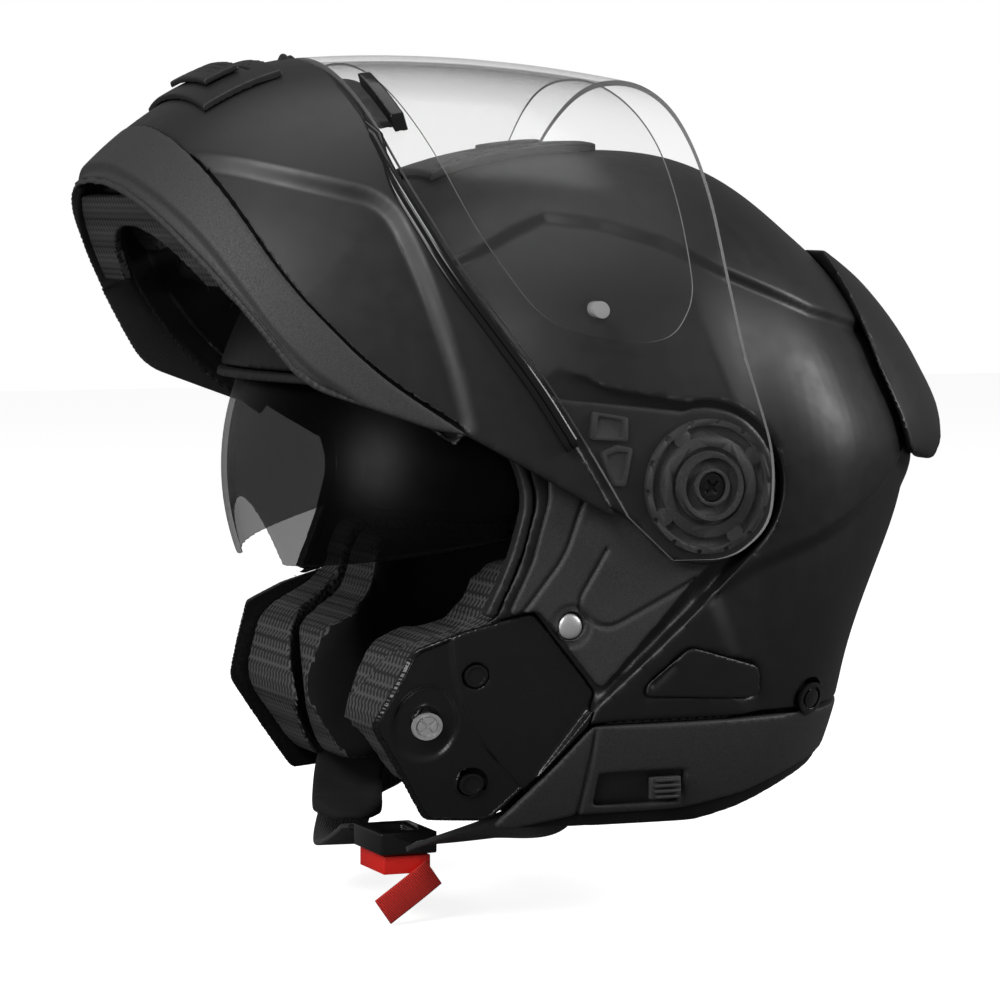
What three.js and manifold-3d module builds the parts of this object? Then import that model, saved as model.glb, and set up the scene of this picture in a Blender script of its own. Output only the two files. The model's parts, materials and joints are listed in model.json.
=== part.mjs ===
// A flip-up motorcycle helmet: chin bar raised, clear visor on the chin bar, tinted sun visor lowered.
// Millimetres. Origin midway between the two chin-bar pivots. -Y is forward, +X the wearer's left, +Z up.
// The chin bar and the clear visor are drawn closed, then their group is turned up about the pivot axis.
import * as THREE from "three";
import { mergeVertices } from "three/addons/utils/BufferGeometryUtils.js";
import Module from "manifold-3d";

const wasm = await Module();
wasm.setup();

// ---------------------------------------------------------------- driving dimensions
const OPEN_ANGLE = 73; // degrees from closed to raised
const SHELL = { side: 118.6, bulge: 7, brow: 142, jaw: 188, rear: 122, nape: 98, top: 120, bottom: 176 };
const WALL = 4; // outer shell wall
const HEAD = { side: 79, bulge: 0, brow: 98, jaw: 98, rear: 101, nape: 92, top: 88, bottom: 220 };
const PAD = 9; // comfort liner on the crown
const PAD_DEPTH = 14; // half the thickness of a cheek pad
const GAP = 0.5; // between neighbouring pieces
const CLEAR = 0.8; // between pieces that slide past each other

// Layers at the pivot, measured out from the centre plane.
const FLOOR = 108.6; // bottom of the side recess in the shell
const PANEL_TOP = FLOOR + 2.8;
const ARM_IN = PANEL_TOP + CLEAR;
const ARM_OUT = ARM_IN + 3.6;
const PLATE_OUT = ARM_OUT + 3; // visor base plate on the arm
const SWEEP_R = 178; // where the swept cavity of the chin bar closes at the centre plane
const SWEEP_POWER = 3.2;
const ARM_R = 28; // round end of the arm
const RECESS_R = 30.5;

const RIM_Z = -101; // lower edge of the shell at the jaw
const REST_Z = -124; // flat underside of the lower rim
const SUN = { y: -40, z: 1, radius: 97, halfWidth: 98.2, power: 2.2, wall: 2.2 };
const VISOR_WALL = 2.2;
const VISOR_BOSS_R = 12; // the visor turns on this boss
const REACH = 260; // beyond every surface of the helmet

// ---------------------------------------------------------------- materials
const finish = (color, roughness, metalness = 0) => new THREE.MeshStandardMaterial({ color, roughness, metalness });
const MATTE_SHELL = finish(0x2a2a2b, 0.55);
const SATIN_GREY = finish(0x454546, 0.5);
const TEXTURED_TRIM = finish(0x3f3f40, 0.75);
const GLOSS_BLACK = finish(0x0c0c0c, 0.15);
const SOFT_BLACK = finish(0x151516, 0.95);
const MESH_FABRIC = finish(0x2c2c2e, 0.9);
const RUBBER = finish(0x101010, 0.7);
const FOAM = finish(0x1d1d1e, 0.9);
const STEEL = finish(0xc8c8c8, 0.3, 1);
const RED = finish(0xd8201c, 0.6);
const CLEAR_SHEET = new THREE.MeshStandardMaterial({ color: 0xf2f4f5, roughness: 0.05, transparent: true, opacity: 0.2 });
const TINTED_SHEET = new THREE.MeshStandardMaterial({ color: 0x3a3638, roughness: 0.08, transparent: true, opacity: 0.8 });

// ---------------------------------------------------------------- solids
const rad = THREE.MathUtils.degToRad;
const mix = THREE.MathUtils.lerp;
const smooth = THREE.MathUtils.smoothstep;

function solidOf(geometry) {
  const bare = new THREE.BufferGeometry().setAttribute("position", geometry.getAttribute("position"));
  if (geometry.index) bare.setIndex(geometry.index);
  const merged = mergeVertices(bare, 1e-4);
  return new wasm.Manifold(
    new wasm.Mesh({
      numProp: 3,
      vertProperties: new Float32Array(merged.attributes.position.array),
      triVerts: new Uint32Array(merged.index.array),
    }),
  );
}

function meshOf(name, solid, material) {
  const { vertProperties, triVerts } = solid.getMesh();
  const geometry = new THREE.BufferGeometry()
    .setAttribute("position", new THREE.BufferAttribute(new Float32Array(vertProperties), 3))
    .setIndex(new THREE.BufferAttribute(new Uint32Array(triVerts), 1));
  geometry.computeVertexNormals();
  const mesh = new THREE.Mesh(geometry, material);
  mesh.name = name;
  return mesh;
}

const TURN_TO_X = new THREE.Matrix4().makeBasis(
  new THREE.Vector3(0, 1, 0),
  new THREE.Vector3(0, 0, 1),
  new THREE.Vector3(1, 0, 0),
);

// A side-view outline in (y, z), extruded along X.
function sidePrism(points, x0, x1) {
  const shape = Array.isArray(points) ? new THREE.Shape(points.map(([y, z]) => new THREE.Vector2(y, z))) : points;
  const geometry = new THREE.ExtrudeGeometry(shape, { depth: x1 - x0, bevelEnabled: false, curveSegments: 10 });
  return solidOf(geometry.translate(0, 0, x0).applyMatrix4(TURN_TO_X));
}

// A rod or disc along X, centred on (y, z).
function rodX(radius, x0, x1, y = 0, z = 0, sides = 20) {
  const geometry = new THREE.CylinderGeometry(radius, radius, x1 - x0, sides);
  return solidOf(geometry.rotateZ(-Math.PI / 2).translate((x0 + x1) / 2, y, z));
}

function box(width, length, height, x, y, z, turnX = 0) {
  return solidOf(new THREE.BoxGeometry(width, length, height).rotateX(turnX).translate(x, y, z));
}

// The body swept by turning about the pivot axis: half-width at the axis, and the radius where it closes.
function sweptBody(halfWidth, closeRadius, power = SWEEP_POWER, steps = 8) {
  const profile = [new THREE.Vector2(0, -halfWidth)];
  for (let i = 1; i < 2 * steps; i++) {
    const t = Math.PI * (i / (2 * steps) - 0.5);
    const along = Math.sign(Math.sin(t)) * Math.abs(Math.sin(t)) ** (2 / power);
    const out = Math.abs(Math.cos(t)) ** (2 / power);
    profile.push(new THREE.Vector2(out * closeRadius, along * halfWidth));
  }
  profile.push(new THREE.Vector2(0, halfWidth));
  return solidOf(new THREE.LatheGeometry(profile, 24).rotateZ(-Math.PI / 2));
}

// Egg-shaped body round the head, moved inward by offset. Its lower front runs forward into the jaw.
function headForm(f, offset = 0, columns = 24, rows = 14) {
  const geometry = new THREE.SphereGeometry(1, columns, rows).rotateX(Math.PI / 2);
  const at = geometry.getAttribute("position");
  const d = new THREE.Vector3();
  for (let i = 0; i < at.count; i++) {
    d.fromBufferAttribute(at, i).normalize();
    const lat = THREE.MathUtils.radToDeg(Math.asin(THREE.MathUtils.clamp(d.z, -1, 1)));
    const jaw = smooth(-lat, -8, 32);
    const side = f.side + f.bulge * smooth(d.y, 0.15, 0.5);
    const front = mix(f.brow, f.jaw, jaw);
    const rear = mix(f.rear, f.nape, smooth(-lat, -6, 36));
    const p = d.y < 0 ? mix(2.2, 2.6, jaw) : 2.2;
    const q = 2.3 - 0.5 * smooth(d.y, 0, 0.6) * smooth(d.z, -0.1, 0.3);
    const plan = (Math.abs(d.x) / (side - offset)) ** p + (Math.abs(d.y) / ((d.y < 0 ? front : rear) - offset)) ** p;
    const rise = (Math.abs(d.z) / ((d.z > 0 ? f.top : f.bottom) - offset)) ** q;
    d.multiplyScalar((plan ** (q / p) + rise) ** (-1 / q));
    at.setXYZ(i, d.x, d.y, d.z);
  }
  return solidOf(geometry);
}

// Plan-view ovals stacked by height: half-width(z), front(z) and rear(z).
function stackedForm({ halfWidth, front, rear, power }, z0, z1, offset = 0, columns = 36, rows = 7) {
  const geometry = new THREE.CylinderGeometry(1, 1, 1, columns, rows).rotateX(Math.PI / 2);
  const at = geometry.getAttribute("position");
  for (let i = 0; i < at.count; i++) {
    const [x, y, h] = [at.getX(i), at.getY(i), at.getZ(i)];
    const z = mix(z0, z1, h + 0.5);
    const b = (y < 0 ? front(z) : rear(z)) - offset;
    const r = Math.hypot(x, y);
    const bend = (v) => Math.sign(v) * Math.abs(v) ** (2 / power);
    at.setXYZ(i, r && bend(x / r) * (halfWidth(z) - offset) * r, r && bend(y / r) * b * r, z);
  }
  return solidOf(geometry);
}

const CHIN_FORM = {
  halfWidth: (z) => 120.5 - 0.0008 * z * z,
  front: (z) => 182 - 0.0042 * (z + 85) ** 2,
  rear: () => 300,
  power: 2.3,
};
const VISOR_FORM = {
  halfWidth: (z) => 123 - (z > 0 ? 0.0022 : 0.0008) * z * z,
  front: (z) => 160.5 - 0.38 * z - 0.0012 * z * z,
  rear: () => 300,
  power: 2.2,
};

// ---------------------------------------------------------------- outlines in the side view (y, z)
const EYE_PORT = [[-REACH, 44], [-118, 39], [-82, 29], [-66, 13], [-61, -4], [-67, -26], [-76, -46], [-104, -57]];
const CHEEK_FRONT = [[-104, -57], [-115, -85], [-92, -121]];
const LATCH_CORNER = [-41, -80];
const SHELL_OUTLINE = [
  ...EYE_PORT,
  ...CHEEK_FRONT.slice(1),
  [-72, -121],
  [-42, RIM_Z],
  [90, -93],
  [REACH, -88],
  [REACH, 200],
  [-REACH, 200],
];
const GASKET_LINE = [[0, -37], [-52, -50], [-100, -65], [-135, -69.5], [-REACH, -62]];
const TRIM_SEAM = [[-REACH, -134], [-174, -130], [-113, -121], [-75, -104], [-45, -80]];
const VISOR_TOP = [[-REACH, 60], [-134, 55], [-107, 45], [-72, 33], [-42, 27], [-2, 26.5], [20, 18], [27, 0], [20, -22]];
const LOCK_PLATE = [[-90, -54.5], [-64, -46.5], [-44, -80], [-70.5, -118.5], [-90, -118], [-111.5, -85.5], [-102, -60]];
const LATCH_PIN = [-98, -84];

// ---------------------------------------------------------------- surfaces
const sweptCavity = sweptBody(ARM_IN, SWEEP_R);

// The floor of the side recess, moved inward by offset.
function recessBody(offset = 0) {
  return sweptBody(FLOOR - offset, SWEEP_R - ARM_IN + FLOOR - offset);
}

// The recess in the side view: forward of the pivot circle and of the line down to the latch corner.
function recessPrism(grow = 0) {
  const shape = new THREE.Shape();
  shape.moveTo(-REACH, 70 + grow);
  for (const [y, z] of [[-140, 68], [-100, 58], [-62, 46], [-36, 35], [-6, 29.5]]) shape.lineTo(y, z + grow);
  shape.absarc(0, 0, RECESS_R + grow, rad(100), rad(-52), true);
  shape.lineTo(LATCH_CORNER[0] + grow * 0.7, LATCH_CORNER[1] - grow * 0.7);
  shape.lineTo(-72 + grow, -124);
  shape.lineTo(-72 + grow, -REACH);
  shape.lineTo(-REACH, -REACH);
  shape.closePath();
  return sidePrism(shape, -REACH, REACH);
}

// The helmet's outer surface with its side recess, moved inward by offset.
function hull(offset = 0) {
  return headForm(SHELL, offset).subtract(recessPrism(offset).subtract(recessBody(offset)));
}

const span = (side, inner, outer) => (side > 0 ? [inner, outer] : [-outer, -inner]);
const bothSides = (solid, shape) => solid.intersect(sidePrism(shape, -REACH, REACH));
const oneSide = (solid, shape, side, inner = 20) => solid.intersect(sidePrism(shape, ...span(side, inner, REACH)));
const SIDES = { left: 1, right: -1 };

// A sheet that follows a surface, between two offsets from it.
const layer = (surface, outer, inner) => surface(outer).subtract(surface(inner));
const frontRect = (width, z0, z1, y0 = -REACH, y1 = -60) =>
  box(width, y1 - y0, z1 - z0, 0, (y0 + y1) / 2, (z0 + z1) / 2);

// A closed outline pushed out from its middle.
function shiftOut(points, distance) {
  const cy = points.reduce((sum, p) => sum + p[0], 0) / points.length;
  const cz = points.reduce((sum, p) => sum + p[1], 0) / points.length;
  return points.map(([y, z]) => {
    const r = Math.hypot(y - cy, z - cz);
    return [y + ((y - cy) / r) * distance, z + ((z - cz) / r) * distance];
  });
}

// Points moved sideways from the line they form, to its left when walking along it.
function shifted(points, distance) {
  return points.map(([y, z], i) => {
    const [y0, z0] = points[Math.max(i - 1, 0)];
    const [y1, z1] = points[Math.min(i + 1, points.length - 1)];
    const length = Math.hypot(y1 - y0, z1 - z0);
    return [y - ((z1 - z0) / length) * distance, z + ((y1 - y0) / length) * distance];
  });
}
const band = (points, near, far) => [...shifted(points, near), ...shifted(points, far).reverse()];

const helmet = new THREE.Group();
const chinGroup = new THREE.Group();
chinGroup.rotation.x = -rad(OPEN_ANGLE);
helmet.add(chinGroup);
const put = (parent, name, solid, material) => parent.add(meshOf(name, solid, material));

// The head space, at the coarser mesh that soft linings need.
const headSpace = (offset = 0) => headForm(HEAD, offset, 18, 11);

// ---------------------------------------------------------------- outer shell and what is fixed to it
const COMM_COVER = [[-21, -75], [-21, -71], [-5, -57.5], [23.5, -66], [25, -76], [21, -77.5]];
const PLUG = { y: 50, z: -80, radius: 6 };
const PIN = { stem: 3, head: 5, hole: 3.4 };
const FIT = 0.4; // round a plate in its pocket
const STRAP_RIVET = { y: -49, z: -49, radius: 4.5 };
const VENT = { halfWidth: 24, front: -70, rear: -4 };

const plugHole = (grow) => rodX(PLUG.radius + grow, -REACH, REACH, PLUG.y, PLUG.z);
const pinHole = (radius) => rodX(radius, -REACH, REACH, ...LATCH_PIN, 16);

function outerShell() {
  const whole = bothSides(layer(hull, 0, WALL), SHELL_OUTLINE);
  const covers = sidePrism(shiftOut(COMM_COVER, FIT), -REACH, REACH).subtract(hull(1.6));
  const lockPlates = sidePrism(shiftOut(LOCK_PLATE, FIT), -REACH, REACH).subtract(hull(2.2));
  const rivets = rodX(STRAP_RIVET.radius + FIT, -REACH, REACH, STRAP_RIVET.y, STRAP_RIVET.z, 16);
  return whole.subtract(covers).subtract(lockPlates).subtract(rivets).subtract(plugHole(FIT)).subtract(pinHole(PIN.hole));
}

put(helmet, "outer_shell", outerShell(), MATTE_SHELL);

// The lens surface of the sun visor, swept about its own pivots, grown by the distance given.
function sunBody(grow) {
  return sweptBody(SUN.halfWidth + grow, SUN.radius + grow, SUN.power).translate([0, SUN.y, SUN.z]);
}

// Room for the sun visor behind the brow, and for the lower rim under the foam.
function sunSpace() {
  return sidePrism(SUN_SECTOR, -REACH, REACH).subtract(sunBody(-1.2 - SUN.wall));
}
function rimSpace() {
  const grown = [[-75, -120], [-43, -99.5], [90, -91.5], [120, -92], [120, -130], [-75, -130]];
  return sidePrism(grown, -REACH, REACH).subtract(headForm(SHELL, 13.6));
}

// Impact foam between the shell and the head, with the slot that the sun visor turns up into.
const SUN_SECTOR = [[-28, -14], [-60, -24], [-REACH, -60], [-REACH, 200], [60, 200], [-8, 40], [-22, 8]];
const LINER_OUTLINE = [[-REACH, 47], [-112, 42], [-74, 32], [-58, 14], [-53, -4], [-58, -20], [20, -26], [40, -92], [REACH, -80], [REACH, 200], [-REACH, 200]];
function epsLiner() {
  return bothSides(hull(WALL + GAP).subtract(headSpace()), LINER_OUTLINE).subtract(sunSpace()).subtract(rimSpace());
}

put(helmet, "eps_liner", epsLiner(), FOAM);

const CROWN_OUTLINE = [[-84, 40], [-40, 12], [30, 0], [44, -40], [REACH, -50], [REACH, 200], [-84, 200]];
const crown = layer(headSpace, GAP, PAD);
put(helmet, "crown_liner", bothSides(crown, CROWN_OUTLINE), MESH_FABRIC);

// Cheek: foam against the shell with a padded face inside it; the chin strap runs between shell and foam.
const CHEEK = [[-62, -24], [-72, -48], [-98, -60], [-108, -85], [-88, -115], [18, -112], [16, -30]];
const STRAP_SLOT = [[-70.4, -140], [-70.4, -40], [-34, -40], [-34, -140]];
function cheekFoam(side) {
  const foam = hull(WALL + GAP).subtract(headSpace(-PAD_DEPTH));
  const strapSpace = sidePrism(STRAP_SLOT, -REACH, REACH).subtract(hull(WALL + 4.2));
  return oneSide(foam, CHEEK, side).subtract(strapSpace).subtract(sunSpace()).subtract(rimSpace());
}
function cheekPad(side) {
  const pad = layer(headSpace, GAP - PAD_DEPTH, PAD_DEPTH);
  return oneSide(pad, shiftOut(CHEEK, -3), side).subtract(sunSpace()).subtract(rimSpace());
}
for (const [name, side] of Object.entries(SIDES)) {
  put(helmet, `cheek_foam_${name}`, cheekFoam(side), FOAM);
  put(helmet, `cheek_pad_${name}`, cheekPad(side), MESH_FABRIC);
}

// The rubber profile pushed over the edge of the eye port, from one cheek round the brow to the other.
function eyePortSeal() {
  const strip = layer(hull, -0.6, WALL + 1);
  return bothSides(strip, [...band(EYE_PORT, -0.4, -4)]);
}
put(helmet, "eye_port_seal", eyePortSeal(), RUBBER);

// Textured plate in the side recess, round the pivot and along the eye port edge.
const SIDE_PANEL = [[-58, 14], [-30, 20], [-16, 20], [20, 8], [20, -14], [-6, -38], [-37, -72], [-61, -43], [-72, -44.5], [-63.5, -26], [-57.5, -4]];
const panelLayer = (outer, inner) => recessBody(outer).intersect(headForm(SHELL, 0.6)).subtract(recessBody(inner));
function sidePanel(side) {
  const boss = rodX(9.4, -REACH, REACH);
  const rivet = rodX(STRAP_RIVET.radius + FIT, -REACH, REACH, STRAP_RIVET.y, STRAP_RIVET.z, 16);
  return oneSide(panelLayer(-2.8, -0.3), SIDE_PANEL, side, 60).subtract(rivet).subtract(boss);
}

// Steel plate on the cheek that the chin bar latches to, with its pin and two caps.
const CAPS = { upper: [-82, -66], lower: [-80, -106] };
function lockPlate(side) {
  const plate = oneSide(layer(hull, 0, 1.9), LOCK_PLATE, side, 40).subtract(pinHole(PIN.hole));
  return Object.values(CAPS).reduce((rest, at) => rest.subtract(rodX(4.4, -REACH, REACH, ...at, 12)), plate);
}
const hullDisc = (side, radius, outer, inner, [y, z], sides = 12) =>
  layer(hull, outer, inner).intersect(rodX(radius, ...span(side, 40, REACH), y, z, sides));

function latchPin(side) {
  const stem = layer(hull, -1.6, WALL - 0.3).intersect(rodX(PIN.stem, ...span(side, 40, REACH), ...LATCH_PIN, 12));
  const head = layer(hull, -1.6, -0.4).intersect(rodX(PIN.head, ...span(side, 40, REACH), ...LATCH_PIN, 16));
  return stem.add(head);
}
function strapRivet(side) {
  return hullDisc(side, STRAP_RIVET.radius, -2.6, WALL - 0.3, [STRAP_RIVET.y, STRAP_RIVET.z], 16);
}
function commCover(side) {
  return oneSide(layer(hull, -0.6, 1.3), COMM_COVER, side, 60);
}

for (const [name, side] of Object.entries(SIDES)) {
  put(helmet, `side_panel_${name}`, sidePanel(side), TEXTURED_TRIM);
  put(helmet, `lock_plate_${name}`, lockPlate(side), GLOSS_BLACK);
  put(helmet, `latch_pin_${name}`, latchPin(side), STEEL);
  for (const [place, at] of Object.entries(CAPS)) {
    put(helmet, `lock_plate_cap_${place}_${name}`, hullDisc(side, 4, -0.4, 1.9, at), GLOSS_BLACK);
  }
  put(helmet, `strap_rivet_${name}`, strapRivet(side), STEEL);
  put(helmet, `pivot_base_${name}`, rodX(9, ...span(side, FLOOR + 0.3, ARM_IN + 0.2)), STEEL);
  put(helmet, `comm_cover_${name}`, commCover(side), MATTE_SHELL);
  put(helmet, `rim_plug_${name}`, hullDisc(side, PLUG.radius, -0.5, 1.8, [PLUG.y, PLUG.z], 16), GLOSS_BLACK);
}

// ---------------------------------------------------------------- lower rim, straps and buckle
const RIM_OUTLINE = [[-70, -121.5], [-42, -101.5], [90, -93.5], [104, -93], [84, -97], [50, -105], [26, -117], [8, REST_Z], [-70, REST_Z]];
// Moulding under the shell, with a slot on each side for the chin strap and a recess for the lever track.
function lowerRim() {
  const ring = layer((offset) => headForm(SHELL, offset), 1.2, 13);
  const track = sidePrism([[-34.6, -116], [-34.6, -103], [0, -103], [0, -116]], 40, REACH).subtract(headForm(SHELL, 4.6));
  const strapSpace = sidePrism(STRAP_SLOT, -REACH, REACH).intersect(headForm(SHELL, 3.4));
  return bothSides(ring, RIM_OUTLINE).subtract(track).subtract(strapSpace);
}
put(helmet, "lower_rim", lowerRim(), TEXTURED_TRIM);

const LEVER = { y: -9, z: -109.5, length: 12 };
// Recessed track and sliding lever of the sun visor, on the wearer's left.
function leverTrack() {
  return oneSide(layer((offset) => headForm(SHELL, offset), 2.6, 4.2), [[-34, -115.6], [-34, -103.4], [-1, -103.4], [-1, -115.6]], 1, 40);
}
put(helmet, "sun_lever_track", leverTrack(), RUBBER);
put(helmet, "sun_visor_lever", box(4.5, LEVER.length, 8, 101.6, LEVER.y, LEVER.z), GLOSS_BLACK);

// Padded roll round the neck opening, inside the rim.
function neckRoll() {
  const roll = layer((offset) => headForm(SHELL, offset, 18, 11), 15, 30);
  return bothSides(roll, [[24, -98], [60, -94], [REACH, -90], [REACH, -120], [70, -108], [24, -118]]);
}
put(helmet, "neck_roll", neckRoll(), SOFT_BLACK);

// Webbing between the shell and the cheek foam, then a free run down to the buckle.
const BUCKLE = { x: 34, y: -88, z: -133 };
function strap(side, ...freeRun) {
  const band = [[-59, -110], [-59, -54], [-39, -54], [-39, -110]];
  const upper = oneSide(layer(hull, WALL + 1, WALL + 3), band, side, 40);
  const start = [[89, -48, -106], [81.5, -47, -119]].map(([x, y, z]) => new THREE.Vector3(side * x, y, z));
  const path = new THREE.CatmullRomCurve3([...start, ...freeRun.map((p) => new THREE.Vector3(...p))]);
  const across = new THREE.Shape().moveTo(-10, -1).lineTo(10, -1).lineTo(10, 1).lineTo(-10, 1);
  across.closePath();
  const run = new THREE.ExtrudeGeometry(across, { steps: 7, extrudePath: path, bevelEnabled: false });
  return upper.add(solidOf(run));
}
const { x: bx, y: by, z: bz } = BUCKLE;
put(helmet, "strap_left", strap(1, [70, -66, -126], [bx + 20, by, bz]), SOFT_BLACK);
put(helmet, "strap_right", strap(-1, [-66, -68, -128], [-28, -84, -138], [bx - 33, by, bz]), SOFT_BLACK);

// Buckle with a slot that takes the toothed tongue, and the lever under it.
function buckleBody() {
  const slot = box(40, 15, 2.6, bx - 6, by, bz);
  return box(30, 22, 8, bx, by, bz).subtract(slot);
}
put(helmet, "buckle_body", buckleBody(), GLOSS_BLACK);
put(helmet, "ratchet_tongue", box(44, 14, 1.8, bx - 9.6, by, bz), GLOSS_BLACK);
put(helmet, "buckle_lever", box(26, 18, 2.6, bx, by, bz - 6), RED);
const TAB = { thick: 1.4, length: 24, width: 11, out: 14.1, down: 18, tilt: rad(35) };
const pullTab = () => box(TAB.thick, TAB.length, TAB.width, bx + TAB.out, by, bz - TAB.down, TAB.tilt);
put(helmet, "pull_tab", pullTab(), RED);

// ---------------------------------------------------------------- spoiler and top vent
// Wedge on the back of the shell that ends the airflow in a sharp edge.
function spoiler() {
  const wedge = headForm({ ...SHELL, rear: 140, nape: 112, side: 108 }).subtract(headForm(SHELL, -0.4));
  return bothSides(wedge, [[79, 83.5], [111, 63], [131, 40], [128, 30], [121, 10], [112, 4], [96, 8], [84, 40]]);
}
put(helmet, "rear_spoiler", spoiler(), MATTE_SHELL);

// Intake over the brow, with a slot for its slider.
function topVentBody() {
  const raised = layer((offset) => headForm(SHELL, offset), -3.4, -0.4);
  const block = box(2 * VENT.halfWidth, VENT.rear - VENT.front, 120, 0, (VENT.rear + VENT.front) / 2, 90);
  const sliderSlot = box(21, 27, 60, 0, -34, 140).subtract(headForm(SHELL, -1.6));
  return raised.intersect(block).subtract(sliderSlot);
}
function topVentSlider() {
  const raised = layer((offset) => headForm(SHELL, offset), -4.6, -2);
  return raised.intersect(box(20, 18, 120, 0, -30.2, 90));
}
put(helmet, "top_vent", topVentBody(), SATIN_GREY);
put(helmet, "top_vent_slider", topVentSlider(), SATIN_GREY);

// ---------------------------------------------------------------- sun visor, lowered
const SUN_OUTLINE = [[-31, -8], [-38, -9], [-60, -17], [-90, -24], [-138, -34], [-REACH, -60], [-REACH, 160], [-104, 53], [-74, 34], [-54, 14], [-31, 9]];
function sunVisor() {
  const lens = sunBody(0).subtract(sunBody(-SUN.wall));
  const noseCut = rodY(26, -REACH, -60, -34);
  return bothSides(lens, SUN_OUTLINE).subtract(noseCut);
}
function rodY(radius, y0, y1, z) {
  return solidOf(new THREE.CylinderGeometry(radius, radius, y1 - y0, 20).translate(0, (y0 + y1) / 2, z));
}
put(helmet, "sun_visor", sunVisor(), TINTED_SHEET);

// ---------------------------------------------------------------- chin bar, drawn closed
const seamDrop = TRIM_SEAM.map(([y, z]) => [y, z - 0.4]);
const HOOK = { y: -111, z: -101, hole: 2.8 };
const CHIN_SHELL = [...GASKET_LINE, ...TRIM_SEAM, [-21, -57]];
const CHIN_TRIM = [...seamDrop, [-50, -90], [-78, -128], [-158, -153], [-REACH, -185]];

// Painted upper half of the chin bar, with the flat arms that reach back to the pivots.
function chinShell() {
  const skin = stackedForm(CHIN_FORM, -165, 0).subtract(stackedForm(CHIN_FORM, -170, 5, WALL));
  const outer = bothSides(skin, CHIN_SHELL).subtract(sweptCavity);
  const bosses = Object.values(SIDES).map((side) => rodX(2.3, ...span(side, 81, 90), HOOK.y, HOOK.z, 10));
  return outer.add(chinArm(1)).add(chinArm(-1)).add(bosses[0]).add(bosses[1]);
}
function chinArm(side) {
  const flat = sweptBody(ARM_OUT, SWEEP_R + 3.6).subtract(sweptCavity);
  const outline = new THREE.Shape();
  outline.moveTo(-19, -53);
  outline.absarc(0, 0, ARM_R, rad(-80), rad(180), false);
  outline.lineTo(-46, -42).lineTo(-56, -58);
  outline.closePath();
  return oneSide(flat, outline, side, 60).subtract(rodX(9.6, ...span(side, 0, REACH)));
}
put(chinGroup, "chin_bar_shell", chinShell(), SATIN_GREY);

// Grained lower half of the chin bar.
function chinTrim() {
  const skin = stackedForm(CHIN_FORM, -165, 0, -0.3).subtract(stackedForm(CHIN_FORM, -170, 5, WALL));
  return bothSides(skin, CHIN_TRIM).subtract(sweptCavity);
}
put(chinGroup, "chin_trim", chinTrim(), TEXTURED_TRIM);

// Impact pad inside the front of the chin bar.
function chinFoam() {
  const fill = stackedForm(CHIN_FORM, -140, -72, WALL + 1.6).subtract(sweptBody(ARM_IN + 1, SWEEP_R + 1));
  return bothSides(fill, [[-120, -76], [-REACH, -76], [-REACH, -138], [-150, -132], [-120, -118]]);
}
put(chinGroup, "chin_foam", chinFoam(), FOAM);

const BUTTON = { halfWidth: 17, y: -156.5, z: -141.5, length: 9, height: 5 };
put(chinGroup, "release_button", box(2 * BUTTON.halfWidth, BUTTON.length, BUTTON.height, 0, BUTTON.y, BUTTON.z), GLOSS_BLACK);

// Soft flap that closes the gap under the wearer's chin.
function chinCurtain() {
  const fill = stackedForm(CHIN_FORM, -160, -90, WALL + 1.6, 28);
  return bothSides(fill, [[-152, -147.5], [-116, -137], [-116, -133.5], [-152, -144]]);
}
put(chinGroup, "chin_curtain", chinCurtain(), SOFT_BLACK);

function breathGuard() {
  const sheet = stackedForm(CHIN_FORM, -76, -48, 9).subtract(stackedForm(CHIN_FORM, -80, -40, 11));
  return sheet.intersect(frontRect(112, -75.4, -50, -REACH, -120));
}
put(chinGroup, "breath_guard", breathGuard(), RUBBER);

// Hook inside each arm that closes round the latch pin.
const hookLayer = () => sweptBody(FLOOR + 2.2, SWEEP_R - 1.4).subtract(sweptBody(FLOOR + 0.8, SWEEP_R - 2.8));
function latchHook(side) {
  const neck = sidePrism([[-106, -89], [-114, -99], [-107, -104], [-99, -94]], -REACH, REACH);
  const claw = rodX(10.5, -REACH, REACH, ...LATCH_PIN, 20).add(rodX(6, -REACH, REACH, HOOK.y, HOOK.z, 16));
  const jaws = sidePrism([[-102.7, -88], [-93.3, -80], [-83, -92.2], [-92.4, -100.2]], -REACH, REACH);
  const mouth = rodX(6.2, -REACH, REACH, ...LATCH_PIN, 20).add(jaws);
  const plate = claw.add(neck).subtract(mouth).subtract(rodX(HOOK.hole, -REACH, REACH, HOOK.y, HOOK.z, 12));
  return plate.intersect(hookLayer()).intersect(sidePrism([[-REACH, 0], [0, 0], [0, -REACH], [-REACH, -REACH]], ...span(side, 20, REACH)));
}

// Ribs of the intake on the front of the chin bar, between two heights.
function mouthVent(outer, inner, width, z0, z1) {
  const cover = stackedForm(CHIN_FORM, -165, 0, outer).subtract(stackedForm(CHIN_FORM, -170, 5, inner));
  return cover.intersect(frontRect(width, z0, z1, -REACH, -120));
}
put(chinGroup, "mouth_vent_base", mouthVent(-2.6, -0.4, 80, -110, -84), SATIN_GREY);
put(chinGroup, "mouth_vent_slider", mouthVent(-5.4, -3.2, 48, -105, -93), SATIN_GREY);

// ---------------------------------------------------------------- clear visor, drawn closed
const VISOR_OUTLINE = [...GASKET_LINE.map(([y, z]) => [y, z + 1.5]), ...VISOR_TOP];
const INSERT_OUTLINE = [[-REACH, 42], [-124, 37], [-64, 17], [-54, 4], [-56, -10], [-72, -40], [-110, -50], [-REACH, -50]];
const INSERT_PIN = [-72, -20];
const visorLayer = (outer, inner) =>
  stackedForm(VISOR_FORM, -80, 70, outer).subtract(stackedForm(VISOR_FORM, -85, 75, inner));
const insertPinRod = (radius) => rodX(radius, -REACH, REACH, ...INSERT_PIN, 12);
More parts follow.
